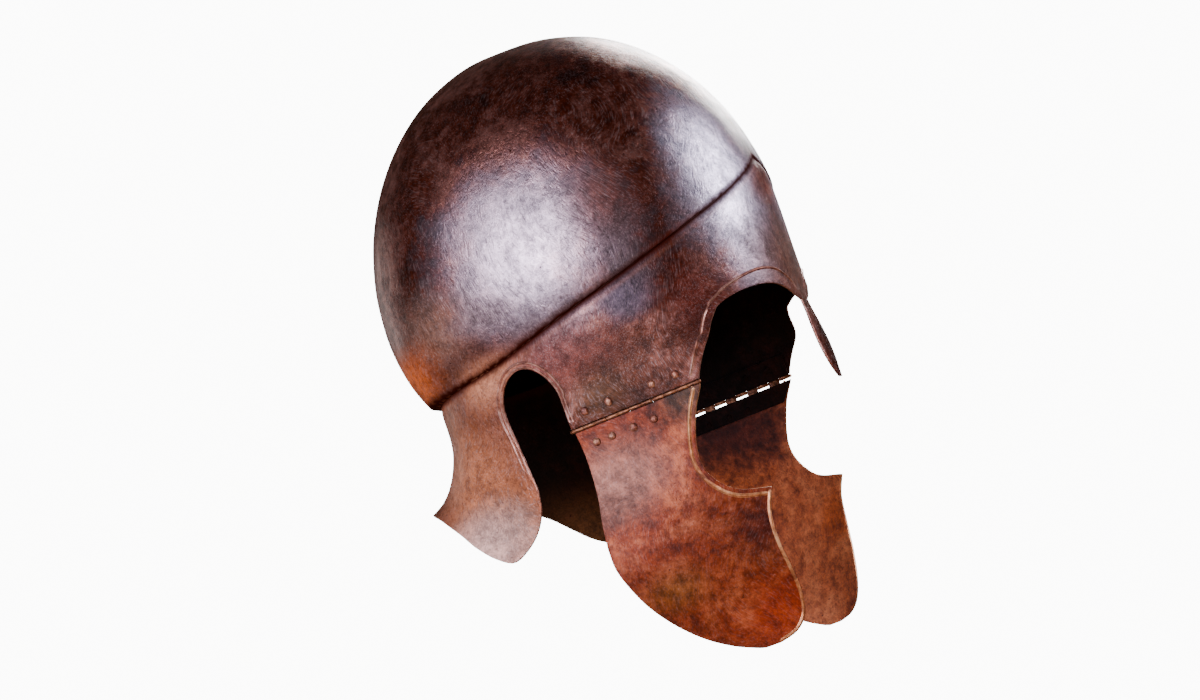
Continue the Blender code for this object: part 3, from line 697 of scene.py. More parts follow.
@dataclass(frozen=True)
class BowlLines:
    """The embossed lines of the bowl: one round each eye opening and two round each ear's arch."""

    bowl: Bowl
    eye: EmbossedLine = EmbossedLine(offset=4.4, width=2.0, rise=0.8, start_fade=0.12, end_fade=0.0,
                                     swell=4.2, swell_place=0.3, swell_reach=0.22)
    ear_inner: EmbossedLine = EmbossedLine(offset=0.9, width=1.7, rise=0.65, start_fade=0.2, end_fade=0.2)
    ear_outer: EmbossedLine = EmbossedLine(offset=3.3, width=2.0, rise=0.75, start_fade=0.2, end_fade=0.25)
    eye_start: float = 0.1
    arch_points: int = 90
    eye_rear_points: int = 50
    temple_points: int = 30
    lobe_points: int = 25

    def seat(self, points: Array) -> tuple[Array, Array]:
        """Return the wall's point and normal at the bearing and height of each point."""
        bearing = np.degrees(np.arctan2(points[..., 0], points[..., 1]))
        height = points[..., 2]
        base = self.bowl.wall_point(bearing, height)
        turn = self.bowl.wall_point(bearing + NORMAL_STEP, height) - base
        drop = self.bowl.wall_point(bearing, height - NORMAL_STEP) - base
        normal = unit(np.cross(turn, drop))
        outward = np.sign(np.sum(normal[..., :2] * base[..., :2], axis=-1, keepdims=True))
        return base, normal * outward

    def eye_edge(self) -> Array:
        """Return bearing and height along the whole eye edge, from the nasal to the hinge."""
        arch = self.bowl.eye_line(self.bowl.eye_arch, np.linspace(self.eye_start, 1, self.arch_points))
        rear = self.bowl.eye_line(self.bowl.eye_rear, np.linspace(0, 1, self.eye_rear_points))[1:]
        return np.vstack([arch, rear])

    def ear_edge(self) -> Array:
        """Return bearing and height round the ear: up the temple, over the arch and down the lobe."""
        height = np.linspace(self.bowl.hinge_edge, self.bowl.ear_spring, self.temple_points)[:-1]
        front = np.stack([self.bowl.bearing_at(self.bowl.hinge_rear, height), height], axis=1)
        lobe = self.bowl.guard_line(np.array([0.0]))[0]
        corner = self.bowl.ear_line(np.array([1.0]))[0]
        rear = mix(corner, lobe, np.linspace(0, 1, self.lobe_points)[1:, None])
        return np.vstack([front, self.bowl.ear_line(np.linspace(0, 1, self.arch_points)), rear])

    def build(self, side: Side, edge: Array, line: EmbossedLine, name: str) -> bpy.types.Mesh:
        """Return one line's mesh: the edge's points, the ways in from it, and the profile on them."""
        base, normal = self.seat(self.bowl.wall_point(edge[:, 0], edge[:, 1]))
        ways = inward_ways(base, normal, 1.0)
        ways = -ways if ways[len(base) // 2, 2] < 0 else ways
        grid = line.strip(base, ways, self.seat)
        grid[..., 0] *= side.value
        sheet = Sheet()
        sheet.add(grid)
        data = sheet.mesh(name, helmet_place)
        face_away(data, HELMET_MIDDLE)
        Unevenness().shape(data)
        return data

    def dress(self, finish: bpy.types.Material) -> None:
        """Show the lines on both sides of the bowl."""
        for side in Side:
            lines = (("eye_line", self.eye_edge(), self.eye),
                     ("ear_line_inner", self.ear_edge(), self.ear_inner),
                     ("ear_line_outer", self.ear_edge(), self.ear_outer))
            for word, edge, line in lines:
                name = f"{word}_{side.word}"
                item = add_piece(name, self.build(side, edge, line, name), "bowl", finish)


# Cheek pieces


@dataclass(frozen=True)
class CheekPiece:
    """One cheek piece, worked out from the middle of its hinge's axis."""

    side: Side
    wall: float = WALL
    hinge_side: float = HINGE_SIDE
    hinge_height: float = HINGE_HEIGHT
    hinge_rear: float = HINGE_REAR
    hinge_front: float = HINGE_FRONT
    edge_gap: float = EDGE_GAP
    flat_band: float = FLAT_BAND
    drop: float = 139.0
    reach: float = 89.0
    bulge: float = 13.0
    tuck: float = 11.0
    turn: float = 28.0
    seam_lap: float = SEAM_LAP
    inside: tuple[float, float, float] = (0.0, 0.03, -0.27)
    columns: int = 40
    steps: int = 9
    eye_line: EmbossedLine = EmbossedLine(offset=3.2, width=2.6, rise=0.9, start_fade=0.045, end_fade=0.02)
    front_line: EmbossedLine = EmbossedLine(offset=1.1, width=2.2, rise=0.9, start_fade=0.03, end_fade=0.12)
    eye_run: tuple[float, float] = (0.024, 0.985)
    eye_points: int = 110
    front_run: tuple[float, float] = (0.012, 0.93)
    front_points: int = 130

    upper = ((0.017, 0.0, 0.854, 0.0), (0.028, 0.07, 0.775, 0.08), (0.028, 0.165, 0.713, 0.18),
             (0.025, 0.265, 0.690, 0.265), (0.013, 0.342, 0.725, 0.340), (0.008, 0.40, 0.826, 0.410),
             (0.004, 0.453, 1.0, 0.445))
    lower = ((0.004, 0.453, 1.0, 0.445), (0.010, 0.535, 0.945, 0.530), (0.046, 0.620, 0.925, 0.636),
             (0.104, 0.717, 0.920, 0.750), (0.192, 0.810, 0.905, 0.850), (0.302, 0.890, 0.865, 0.930),
             (0.43, 0.951, 0.795, 0.978), (0.55, 0.989, 0.700, 0.998), (0.60, 1.0, 0.645, 1.0))

    @property
    def body(self) -> str:
        """Return the body that this cheek piece moves with."""
        return f"cheek_{self.side.word}"

    def out(self, ahead: Array, height: Array) -> Array:
        """Return the outer face's way out from the axis: a swell, less a tuck below and a turn ahead."""
        top = self.hinge_height - self.edge_gap - self.flat_band
        fall = np.maximum((top - height) / (self.drop - self.flat_band), 0)
        lead = (ahead - self.hinge_rear) / self.reach
        swell = self.bulge * np.sin(math.pi * np.minimum(fall, 1)) ** 2
        return self.wall / 2 + swell - self.tuck * fall ** 2 - self.turn * lead ** 2 * ease(2 * fall)

    def point(self, ahead: Array, height: Array) -> Array:
        """Return points of the outer face as side, ahead and height."""
        ahead, height = np.broadcast_arrays(np.asarray(ahead, float), np.asarray(height, float))
        return np.stack([self.hinge_side + self.out(ahead, height), ahead, height], axis=-1)

    def run(self, table: Sequence[Sequence[float]], share: Array) -> Array:
        """Return rear ahead, rear height, front ahead and front height down a run of sections."""
        rows = np.asarray(table, float)
        top = self.hinge_height - self.edge_gap
        places = np.stack([self.hinge_rear + rows[:, 0] * self.reach, top - rows[:, 1] * self.drop,
                           self.hinge_rear + rows[:, 2] * self.reach, top - rows[:, 3] * self.drop], axis=1)
        return along_points(places, share)

    def seat(self, points: Array) -> tuple[Array, Array]:
        """Return the outer face's point and normal at the ahead and height of each point."""
        ahead, height = points[..., 1], points[..., 2]
        base = self.point(ahead, height)
        step = self.point(ahead + NORMAL_STEP, height) - base
        drop = self.point(ahead, height - NORMAL_STEP) - base
        normal = unit(np.cross(step, drop))
        return base, normal * np.sign(normal[..., :1])

    def place(self, points: Array) -> Array:
        """Turn this side's points into the object's frame."""
        return helmet_place(points * np.array([self.side.value, 1.0, 1.0]))

    def finish_mesh(self, sheet: Sheet, name: str) -> bpy.types.Mesh:
        """Return a sheet's mesh with its faces turned away from the middle plane."""
        data = sheet.mesh(name, self.place)
        face_away(data, Vector(self.inside))
        return data

    def build(self) -> bpy.types.Mesh:
        """Return the outer sheet: sections down the piece, straight across from rear to front edge."""
        upper = self.run(self.upper, np.linspace(0, 1, (len(self.upper) - 1) * self.steps + 1))
        lower = self.run(self.lower, np.linspace(0, 1, (len(self.lower) - 1) * self.steps + 1))[1:]
        sections = np.vstack([upper, lower])
        sections[0, [1, 3]] += self.seam_lap if self.side is Side.RIGHT else 0.0
        across = np.linspace(0, 1, self.columns + 1)
        ahead = mix(sections[:, :1], sections[:, 2:3], across)
        height = mix(sections[:, 1:2], sections[:, 3:4], across)
        sheet = Sheet()
        sheet.add(self.point(ahead, height))
        return self.finish_mesh(sheet, f"cheek_sheet_{self.side.word}")

    def build_lines(self) -> bpy.types.Mesh:
        """Return the raised lines beside the eye's cut-out and along the wavy front edge."""
        sheet = Sheet()
        runs = ((self.upper, np.linspace(*self.eye_run, self.eye_points), self.eye_line),
                (self.lower, np.linspace(*self.front_run, self.front_points), self.front_line))
        for table, share, line in runs:
            places = self.run(table, share)
            base, normal = self.seat(self.point(places[:, 2], places[:, 3]))
            ways = inward_ways(base, normal, 1.0)
            ways = -ways if ways[len(ways) // 2, 1] > 0 else ways
            sheet.add(line.strip(base, ways, self.seat))
        return self.finish_mesh(sheet, f"cheek_lines_{self.side.word}")

    def dress(self, outer: bpy.types.Material, inner: bpy.types.Material, rim: bpy.types.Material) -> None:
        """Show the cheek piece and its lines."""
        name = self.side.word
        item = add_piece(f"cheek_sheet_{name}", self.build(), self.body, outer, inner, rim)
        add_wall(item, self.wall)
        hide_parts(f"cheek_piece_{name}")
        lines = add_piece(f"cheek_lines_{name}", self.build_lines(), self.body, rim)


# Hinges and rivets


def carried(outline: Array, places: Sequence[float], shrink: Sequence[float]) -> tuple[Array, Array]:
    """Carry a flat outline past places, shrunk about its middle at each, so that 0 closes an end.

    Args:
        outline: the outline's points, two coordinates each.
        places: the third coordinate of each copy.
        shrink: the size of each copy.

    Returns:
        The outline's two coordinates and the third one, by place and point.
    """
    middle = outline.mean(axis=0)
    across = middle + (outline[None] - middle) * np.asarray(shrink)[:, None, None]
    return across, np.broadcast_to(np.asarray(places)[:, None], across.shape[:2])


def turned(profile: Array, sides: int) -> Array:
    """Return a surface of revolution: each (radius, height) carried round the third axis.

    Args:
        profile: rows of radius and height.
        sides: number of steps round the axis.

    Returns:
        A grid of points, profile places by steps.
    """
    angle = np.arange(sides) / sides * 2 * math.pi
    radius, height = profile[:, :1], profile[:, 1:]
    return np.stack([radius * np.cos(angle), radius * np.sin(angle), height + 0 * angle], axis=-1)


@dataclass(frozen=True)
class Hinge:
    """One cheek piece's hinge: two leaves with rolled knuckles, a pin and its rivets."""

    side: Side
    axis_side: float = HINGE_SIDE
    axis_height: float = HINGE_HEIGHT
    rear: float = HINGE_REAR
    front: float = HINGE_FRONT
    wall: float = WALL
    clearance: float = 0.3
    edge_gap: float = EDGE_GAP
    leaf_height: float = 13.0
    leaf_inset: float = 2.0
    lower_slant: float = 8.5
    leaf_inner: float = -1.7
    knuckles: int = 11
    knuckle_radius: float = 0.98
    cover: float = 0.8
    pin_radius: float = 0.6
    pin_head: float = 0.98
    rivet_rise: float = 8.0
    rivet_fall: float = 9.5
    rivet_radius: float = 2.3
    rivet_dome: float = 1.2
    burr_radius: float = 1.8
    burr_dome: float = 0.7
    burr_shank: float = 1.0
    leaf_lap: float = 1.5
    knuckle_rounding: float = 0.18
    knuckle_shrink: float = 0.88
    plate_rounding: float = 0.15
    plate_outer_rounding: float = 0.1
    plate_shrink: float = 0.99
    pin_dome: float = 0.8
    rivet_flatness: float = 0.85
    radius_spread: float = 0.03
    dome_spread: float = 0.06
    oval_spread: float = 0.04
    seed_step: int = 31
    upper_seed: int = 7
    ring_points: int = 30
    cap_points: int = 7
    head_points: int = 9
    leaf_sharpest: float = 40.0
    round_sharpest: float = 50.0
    pin_sides: int = 24
    rivet_sides: int = 28

    shares = {Level.UPPER: (0.14, 0.33, 0.67, 0.855), Level.LOWER: (0.15, 0.27, 0.44, 0.60)}

    def place(self, points: Array) -> Array:
        """Turn (out, ahead, rise) from the axis into the object's frame."""
        moved = np.stack([(self.axis_side + points[:, 0]) * self.side.value, points[:, 1],
                          points[:, 2] + self.axis_height], axis=1)
        return helmet_place(moved)

    def body(self, level: Level) -> str:
        """Return the body that a level's leaf and rivets move with."""
        return "bowl" if level is Level.UPPER else f"cheek_{self.side.word}"

    def closed_mesh(self, sheet: Sheet, name: str, sharp: float) -> bpy.types.Mesh:
        """Return a closed mesh with outward faces, shaded smooth up to an angle in degrees."""
        data = sheet.mesh(name, self.place)
        face_away(data)
        data.set_sharp_from_angle(angle=math.radians(sharp))
        return data

    def knuckle(self, start: float, end: float, level: Level) -> Array:
        """Return one rolled knuckle: three quarters of a ring that runs into its leaf, carried ahead.

        Args:
            start: the ahead place of its rear end.
            end: the ahead place of its front end.
            level: which leaf it belongs to.

        Returns:
            A closed grid: six places along, by the points of the outline.
        """
        radius = self.knuckle_radius
        outer = -(self.wall / 2 + self.clearance)
        meet = math.acos(outer / radius)
        angle = np.linspace(math.pi, 2 * math.pi + meet, self.ring_points)
        ring = np.stack([radius * np.cos(angle), radius * np.sin(angle)], axis=1)
        lap = self.edge_gap + self.leaf_lap
        outline = np.vstack([ring, [(outer, lap), (-radius, lap)]])
        outline[:, 1] *= level.value
        step, small = self.knuckle_rounding, self.knuckle_shrink
        across, ahead = carried(outline, (start, start, start + step, end - step, end, end),
                                (0.0, small, 1.0, 1.0, small, 0.0))
        return np.stack([across[..., 0], ahead, across[..., 1]], axis=-1)

    def leaf_plate(self, level: Level) -> Array:
        """Return the leaf's flat plate, which covers the knuckles' slots except on the lower left leaf."""
        shows_light = self.side is Side.LEFT and level is Level.LOWER
        low = self.edge_gap + self.clearance if shows_light else self.cover
        high = self.leaf_height
        outer, inner = -(self.wall / 2 + self.clearance), self.leaf_inner
        rear, front = self.rear + self.leaf_inset, self.front
        slant = self.lower_slant if level is Level.LOWER else 0.0
        corners = np.array([(rear, low), (rear, high), (front - slant, high), (front, low)])
        depth = (inner, inner, inner + self.plate_rounding, outer - self.plate_outer_rounding, outer, outer)
        small = self.plate_shrink
        across, out = carried(corners, depth, (0.0, small, 1.0, 1.0, small, 0.0))
        return np.stack([out, across[..., 0], across[..., 1] * level.value], axis=-1)

    def build_leaf(self, level: Level) -> bpy.types.Mesh:
        """Return one leaf: its plate and every second knuckle along the axis."""
        sheet = Sheet()
        # The plate takes the near-black inner finish: painted shade that shows in the gaps between the
        # knuckles
        sheet.add(self.leaf_plate(level), closed=True, slot=1)
        pitch = (self.front - self.rear + self.clearance) / self.knuckles
        for number in range(0 if level is Level.UPPER else 1, self.knuckles, 2):
            start = self.rear + number * pitch
            sheet.add(self.knuckle(start, start + pitch - self.clearance, level), closed=True)
        return self.closed_mesh(sheet, f"leaf_{level.word}_{self.side.word}", self.leaf_sharpest)

    def build_pin(self) -> bpy.types.Mesh:
        """Return the pin: a rod with a peened round head at each end, turned about the axis."""
        half, head = (self.front - self.rear) / 2 + self.clearance, self.pin_head
        angle = np.linspace(0, math.pi / 2, self.cap_points)
        cap = np.stack([head * np.sin(angle), half + self.pin_dome * np.cos(angle)], axis=1)
        upper = np.vstack([cap, [(self.pin_radius, half)]])
        profile = np.vstack([upper, upper[::-1] * [1, -1]])
        grid = turned(profile, self.pin_sides)
        middle = (self.front + self.rear) / 2
        sheet = Sheet()
        sheet.add(np.stack([grid[..., 0], grid[..., 2] + middle, grid[..., 1]], axis=-1), closed=True)
        return self.closed_mesh(sheet, f"pin_{self.side.word}", self.round_sharpest)

    def build_rivet(self, level: Level, number: int) -> bpy.types.Mesh:
        """Return one rivet: a hammered dome, a shank and a low burr inside, turned about its own axis."""
        seed = self.seed_step * number + self.upper_seed * (level is Level.UPPER)
        uneven = np.random.default_rng(seed).normal(0, 1, 4)
        radius = self.rivet_radius * (1 + self.radius_spread * uneven[0])
        dome = self.rivet_dome * (1 - self.dome_spread * abs(uneven[1]))
        under, inner = self.wall / 2, self.leaf_inner
        angle = np.linspace(0, math.pi / 2, self.head_points)
        head = np.stack([radius * np.sin(angle), under + dome * np.cos(angle) ** self.rivet_flatness], axis=1)
        burr = np.stack([self.burr_radius * np.cos(angle), inner - self.burr_dome * np.sin(angle)], axis=1)
        profile = np.vstack([head, [(self.burr_shank, under)], [(self.burr_shank, inner)], burr])
        profile[0, 0] = profile[-1, 0] = 0.0
        grid = turned(profile, self.rivet_sides)
        shank = len(head)
        around = np.arange(self.rivet_sides) / self.rivet_sides * 2 * math.pi
        flat = 1 - self.oval_spread * np.cos(2 * around + uneven[2])
        span = self.front - self.rear
        ahead = self.rear + self.shares[level][number - 1] * span
        rise = self.rivet_rise if level is Level.UPPER else -self.rivet_fall
        points = np.stack([grid[..., 2], ahead + grid[..., 0] * flat, rise + grid[..., 1] / flat], axis=-1)
        sheet = Sheet()
        sheet.add(points[:shank + 1], closed=True)
        sheet.add(points[shank:], closed=True, slot=1)
        name = f"rivet_head_{level.word}_{self.side.word}_{number}"
        return self.closed_mesh(sheet, name, self.round_sharpest)

    def dress(self, leaf_finish: bpy.types.Material, rivet_finish: bpy.types.Material,
              inner_shade_finish: bpy.types.Material) -> None:
        """Show the hinge: both leaves, the pin and eight rivets."""
        word = self.side.word
        for level in Level:
            leaf = add_piece(f"leaf_{level.word}_{word}", self.build_leaf(level), self.body(level),
                             leaf_finish, inner_shade_finish)
            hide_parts(f"hinge_leaf_{level.word}_{word}")
            for number in range(1, len(self.shares[level]) + 1):
                data = self.build_rivet(level, number)
                rivet = add_piece(data.name, data, self.body(level), rivet_finish, inner_shade_finish)
                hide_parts(f"rivet_{level.word}_{word}_{number}")
        pin = add_piece(f"pin_{word}", self.build_pin(), "bowl", leaf_finish)
        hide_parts(f"hinge_pin_{word}")


# Finishes


def linear(colour: str) -> tuple[float, float, float, float]:
    """Turn an sRGB hex colour into linear values with full opacity."""
    parts = [int(colour.lstrip("#")[place:place + 2], 16) / 255 for place in (0, 2, 4)]
    curved = [part / 12.92 if part <= 0.04045 else ((part + 0.055) / 1.055) ** 2.4 for part in parts]
    return (curved[0], curved[1], curved[2], 1.0)


def add_node(tree: bpy.types.NodeTree, kind: str, settings: Optional[dict[str, Any]] = None,
             values: Optional[dict[Any, Any]] = None) -> bpy.types.Node:
    """Add a node with its settings, constants and links.

    Args:
        tree: the material's node tree.
        kind: the node's type name without its ShaderNode prefix.
        settings: properties of the node.
        values: input names or numbers with a constant, or an output to link from.

    Returns:
        The new node.
    """
    made = tree.nodes.new("ShaderNode" + kind)
    for name, setting in (settings or {}).items():
        setattr(made, name, setting)
    for name, value in (values or {}).items():
        if isinstance(value, bpy.types.NodeSocket):
            tree.links.new(value, made.inputs[name])
        else:
            made.inputs[name].default_value = value
    return made


def noise(tree: bpy.types.NodeTree, place: Any, size_mm: float, detail: float, roughness: float = 0.5,
          distortion: float = 0.0) -> bpy.types.Node:
    """Add noise whose largest lumps have a size in millimetres."""
    return add_node(tree, "TexNoise", None, {"Vector": place, "Scale": 1000 / size_mm, "Detail": detail,
                                             "Roughness": roughness, "Distortion": distortion})


def calculated(tree: bpy.types.NodeTree, operation: str, *values: Any, clamp: bool = False) -> Any:
    """Return the result of arithmetic on outputs and constants."""
    made = add_node(tree, "Math", {"operation": operation, "use_clamp": clamp}, dict(enumerate(values)))
    return made.outputs[0]


def stretched(tree: bpy.types.NodeTree, value: Any, limits: Sequence[float],
              results: Sequence[float] = (0.0, 1.0), smooth: bool = False) -> Any:
    """Return a value carried from between its limits to between the results, and held there."""
    kind = "SMOOTHSTEP" if smooth else "LINEAR"
    return add_node(tree, "MapRange", {"interpolation_type": kind},
                    {"Value": value, "From Min": limits[0], "From Max": limits[1], "To Min": results[0],
                     "To Max": results[1]}).outputs[0]


def mixed(tree: bpy.types.NodeTree, share: Any, under: Any, over: Any, blend: str = "MIX") -> Any:
    """Return a colour with a share of another laid over it."""
    return add_node(tree, "Mix", {"data_type": "RGBA", "blend_type": blend},
                    {0: share, 6: under, 7: over}).outputs[2]


def bumped(tree: bpy.types.NodeTree, height: Any, depth_mm: float, under: Any = None, strength: float = 1.0,
           sunk: bool = False) -> Any:
    """Return normals that show a height as relief, raised or sunk, on top of the normals under it."""
    values = {"Height": height, "Strength": strength, "Distance": depth_mm * MM}
    if under is not None:
        values["Normal"] = under
    return add_node(tree, "Bump", {"invert": sunk}, values).outputs[0]


@dataclass(frozen=True)
class Patch:
    """A soft patch of colour on the bronze."""

    colour: str
    centre: tuple[float, float, float]
    reach: tuple[float, float, float]
    strength: float = 0.7
    dull: float = 0.3


@dataclass(frozen=True)
class Strokes:
    """Strokes of one width and length that lie several ways."""

    width_mm: float
    length_mm: float
    limits: tuple[float, float]
    turns: tuple[tuple[float, float, float], ...]

    def strength(self, tree: bpy.types.NodeTree, bent: Any) -> Any:
        """Return the strongest stroke at each place: noise stretched one way, cut off below its limits.

        Args:
            tree: the material's node tree.
            bent: the places, already bent by the slow swirl.

        Returns:
            The output with the strokes' strength, from 0 to 1.
        """
        width, length = 1 / (self.width_mm * MM), 1 / (self.length_mm * MM)
        found = None
        for turn in self.turns:
            way = add_node(tree, "Mapping", None, {"Vector": bent, "Rotation": turn,
                                                   "Scale": (width, width, length)})
            lumps = add_node(tree, "TexNoise", None, {"Vector": way.outputs[0], "Scale": 1.0, "Detail": 2.0,
                                                      "Roughness": 0.6})
            one = stretched(tree, lumps.outputs["Fac"], self.limits, smooth=True)
            found = one if found is None else calculated(tree, "MAXIMUM", found, one)
        return found


@dataclass(frozen=True)
class PatinatedBronze:
    """Hammered bronze sheet under a brown patina: a satin, mottled metal, some of whose patches are painted
    highlight and painted shade.
    """

    name: str
    dark: str
    middle: str
    light: str
    patches: tuple[Patch, ...] = ()
    patch_edge: tuple[float, float] = (2.1, 1.0)
    patch_shade: float = 0.65
    metallic: float = 0.85
    roughness: float = 0.38
    rough_spread: float = 0.12
    dull_rough: float = 0.25
    sheen: float = 0.5
    blotch_mm: float = 38.0
    mottle_mm: float = 7.0
    mottle_share: float = 0.55
    mottle_bump_mm: float = 0.24
    grain_mm: float = 0.9
    grain_bump_mm: float = 0.03
    swirl_mm: float = 75.0
    swirl_bend_mm: float = 90.0
    hammer_mm: float = 16.0
    hammer_bump_mm: float = 0.60
    scratch_share: float = 0.22
    scratch_colour: str = "#c9b4ae"
    scratch_bump_mm: float = 0.03
    scratches: Strokes = Strokes(0.67, 9.0, (0.56, 0.72),
                                 ((0.5, 0.9, 0.2), (1.6, 0.3, 1.1), (0.2, 2.2, 0.7)))
    wrinkle_shade: float = 0.22
    wrinkle_bump_mm: float = 0.09
    wrinkles: Strokes = Strokes(3.0, 7.5, (0.50, 0.78), ((1.1, 0.4, 0.9), (2.0, 1.2, 0.1)))
    scuff_mm: float = 2.6
    scuff_shade: float = 0.6
    scuff_lightest: float = 1.08
    scuff_bump_mm: float = 0.12
    pit_mm: float = 4.0
    pit_bump_mm: float = 0.15
    # Near black, used for the pits and as painted shade in the crease
    groove_colour: str = "#300b04"
    groove_dull: float = 0.85
    groove_rough: float = 0.35
    lip_colour: str = "#9c5a38"
    lip: float = 0.0

    def browns(self, tree: bpy.types.NodeTree, tone: Any) -> Any:
        """Return the ground colour, from dark to light by tone."""
        ramp = add_node(tree, "ValToRGB", None, {"Fac": tone})
        ramp.color_ramp.elements[0].position = 0.30
        ramp.color_ramp.elements[0].color = linear(self.dark)
        ramp.color_ramp.elements[1].position = 0.68
        ramp.color_ramp.elements[1].color = linear(self.light)
        ramp.color_ramp.elements.new(0.48).color = linear(self.middle)
        return ramp.outputs["Color"]

    def patched(self, tree: bpy.types.NodeTree, place: Any, uneven: Any, shade: Any,
                colour: Any) -> tuple[Any, Any]:
        """Lay the patches over the ground colour, on both sides alike, and dull the metal under them.

        Args:
            tree: the material's node tree.
            place: the places in the object's frame.
            uneven: noise that frays the patches' edges.
            shade: noise that darkens and lightens the patches' colours.
            colour: the ground colour.

        Returns:
            The colour with its patches, and how metallic it still is.
        """
        parts = add_node(tree, "SeparateXYZ", None, {"Vector": place}).outputs
        folded = add_node(tree, "CombineXYZ", None, {"X": calculated(tree, "ABSOLUTE", parts["X"]),
                                                     "Y": parts["Y"], "Z": parts["Z"]}).outputs[0]
        bare: Any = self.metallic
        for patch in self.patches:
            centre, reach = (tuple(value * MM for value in size) for size in (patch.centre, patch.reach))
            away = add_node(tree, "VectorMath", {"operation": "SUBTRACT"}, {0: folded, 1: centre})
            scaled = add_node(tree, "VectorMath", {"operation": "DIVIDE"}, {0: away.outputs[0], 1: reach})
            far = add_node(tree, "VectorMath", {"operation": "LENGTH"}, {0: scaled.outputs[0]})
            ragged = calculated(tree, "ADD", uneven, far.outputs["Value"])
            share = stretched(tree, ragged, self.patch_edge, (0.0, patch.strength), smooth=True)
            tinted = mixed(tree, self.patch_shade, linear(patch.colour), shade, "MULTIPLY")
            colour = mixed(tree, share, colour, tinted)
            worn = calculated(tree, "MULTIPLY", share, patch.dull)
            bare = add_node(tree, "Mix", None, {0: worn, 2: bare, 3: 0.0}).outputs[0]
        return colour, bare

    def lip_share(self, tree: bpy.types.NodeTree, groove: Any) -> Any:
        """Return how much of the lip's colour shows: a thin line just below the groove, none on the dome."""
        line = add_node(tree, "ValToRGB", None, {"Fac": groove})
        for position, value in ((0.06, 1.0), (0.16, 1.0), (0.4, 0.0)):
            line.color_ramp.elements.new(position).color = (value, value, value, 1.0)
        line.color_ramp.elements[-1].color = line.color_ramp.elements[0].color = (0.0, 0.0, 0.0, 1.0)
        dome = add_node(tree, "Attribute", {"attribute_name": "dome"}).outputs["Fac"]
        below = calculated(tree, "MULTIPLY_ADD", dome, -self.lip, self.lip)
        return calculated(tree, "MULTIPLY", line.outputs["Color"], below)

    def material(self) -> bpy.types.Material:
        """Make the finish: three browns mixed by blotches and mottling, patches, strokes, pits and dents."""
        finish = bpy.data.materials.new(self.name)
        finish.use_nodes = True
        tree = finish.node_tree
        tree.nodes.clear()
        place = add_node(tree, "TexCoord").outputs["Object"]
        groove = add_node(tree, "Attribute", {"attribute_name": "groove"}).outputs["Fac"]
        blotch = noise(tree, place, self.blotch_mm, detail=5.0, roughness=0.62, distortion=0.6).outputs["Fac"]
        mottle = noise(tree, place, self.mottle_mm, detail=6.0, roughness=0.7).outputs["Fac"]
        scuff = noise(tree, place, self.scuff_mm, detail=5.0, roughness=0.72, distortion=1.5).outputs["Fac"]
        speck = noise(tree, place, self.pit_mm, detail=3.0, roughness=0.65).outputs["Fac"]
        grain = noise(tree, place, self.grain_mm, detail=3.0).outputs["Fac"]
        dents = noise(tree, place, self.hammer_mm, detail=1.5, roughness=0.45).outputs["Fac"]
        swirl = noise(tree, place, self.swirl_mm, detail=1.0).outputs["Color"]
        bent = add_node(tree, "VectorMath", {"operation": "MULTIPLY_ADD"},
                        {0: swirl, 1: (self.swirl_bend_mm * MM,) * 3, 2: place}).outputs[0]

        spread = calculated(tree, "MULTIPLY_ADD", mottle, self.mottle_share, -self.mottle_share / 2)
        tone = calculated(tree, "ADD", blotch, spread, clamp=True)
        shade = stretched(tree, tone, (0.3, 0.62), (0.35, 1.25))
        uneven = calculated(tree, "MULTIPLY_ADD", mottle, 0.7, calculated(tree, "MULTIPLY", blotch, 1.1))
        colour, bare = self.patched(tree, place, uneven, shade, self.browns(tree, tone))

        marks = self.scratches.strength(tree, bent)
        wrinkles = self.wrinkles.strength(tree, bent)
        faint = calculated(tree, "MULTIPLY", marks, self.scratch_share)
        colour = mixed(tree, faint, colour, linear(self.scratch_colour))
        rubbed = stretched(tree, calculated(tree, "MULTIPLY_ADD", mottle, 0.8, scuff), (0.72, 1.05),
                           (self.scuff_lightest - self.scuff_shade, self.scuff_lightest))
        lined = calculated(tree, "MULTIPLY_ADD", wrinkles, -self.wrinkle_shade, 1.0)
        colour = mixed(tree, 1.0, colour, calculated(tree, "MULTIPLY", rubbed, lined), "MULTIPLY")
        pits = calculated(tree, "MULTIPLY", stretched(tree, speck, (0.66, 0.74), smooth=True),
                          stretched(tree, blotch, (0.45, 0.6)))
        colour = mixed(tree, pits, colour, linear(self.groove_colour))
        # Painted shade: the crease under the dome's ledge is coloured near black
        colour = mixed(tree, groove, colour, linear(self.groove_colour))
        colour = mixed(tree, self.lip_share(tree, groove), colour, linear(self.lip_colour))

        clear = calculated(tree, "MULTIPLY_ADD", groove, -self.groove_dull, 1.0)
        half = self.rough_spread / 2
        rough = stretched(tree, tone, (0.25, 0.75), (self.roughness + half, self.roughness - half))
        hidden = calculated(tree, "SUBTRACT", self.metallic, bare)
        rough = calculated(tree, "MULTIPLY_ADD", hidden, self.dull_rough, rough)
        rough = calculated(tree, "MULTIPLY_ADD", groove, self.groove_rough, rough)

        normal = bumped(tree, dents, self.hammer_bump_mm)
        normal = bumped(tree, wrinkles, self.wrinkle_bump_mm, normal, sunk=True)
        normal = bumped(tree, mottle, self.mottle_bump_mm, normal)
        normal = bumped(tree, marks, self.scratch_bump_mm, normal, strength=0.6)
        normal = bumped(tree, scuff, self.scuff_bump_mm, normal)
        normal = bumped(tree, pits, self.pit_bump_mm, normal, strength=0.8, sunk=True)
        normal = bumped(tree, grain, self.grain_bump_mm, normal, strength=0.5)
        shader = add_node(tree, "BsdfPrincipled", None,
                          {"Base Color": colour, "Metallic": calculated(tree, "MULTIPLY", clear, bare),
                           "Roughness": rough, "Normal": normal,
                           "Specular IOR Level": calculated(tree, "MULTIPLY", clear, self.sheen)})
        add_node(tree, "OutputMaterial", None, {"Surface": shader.outputs[0]})
        return finish


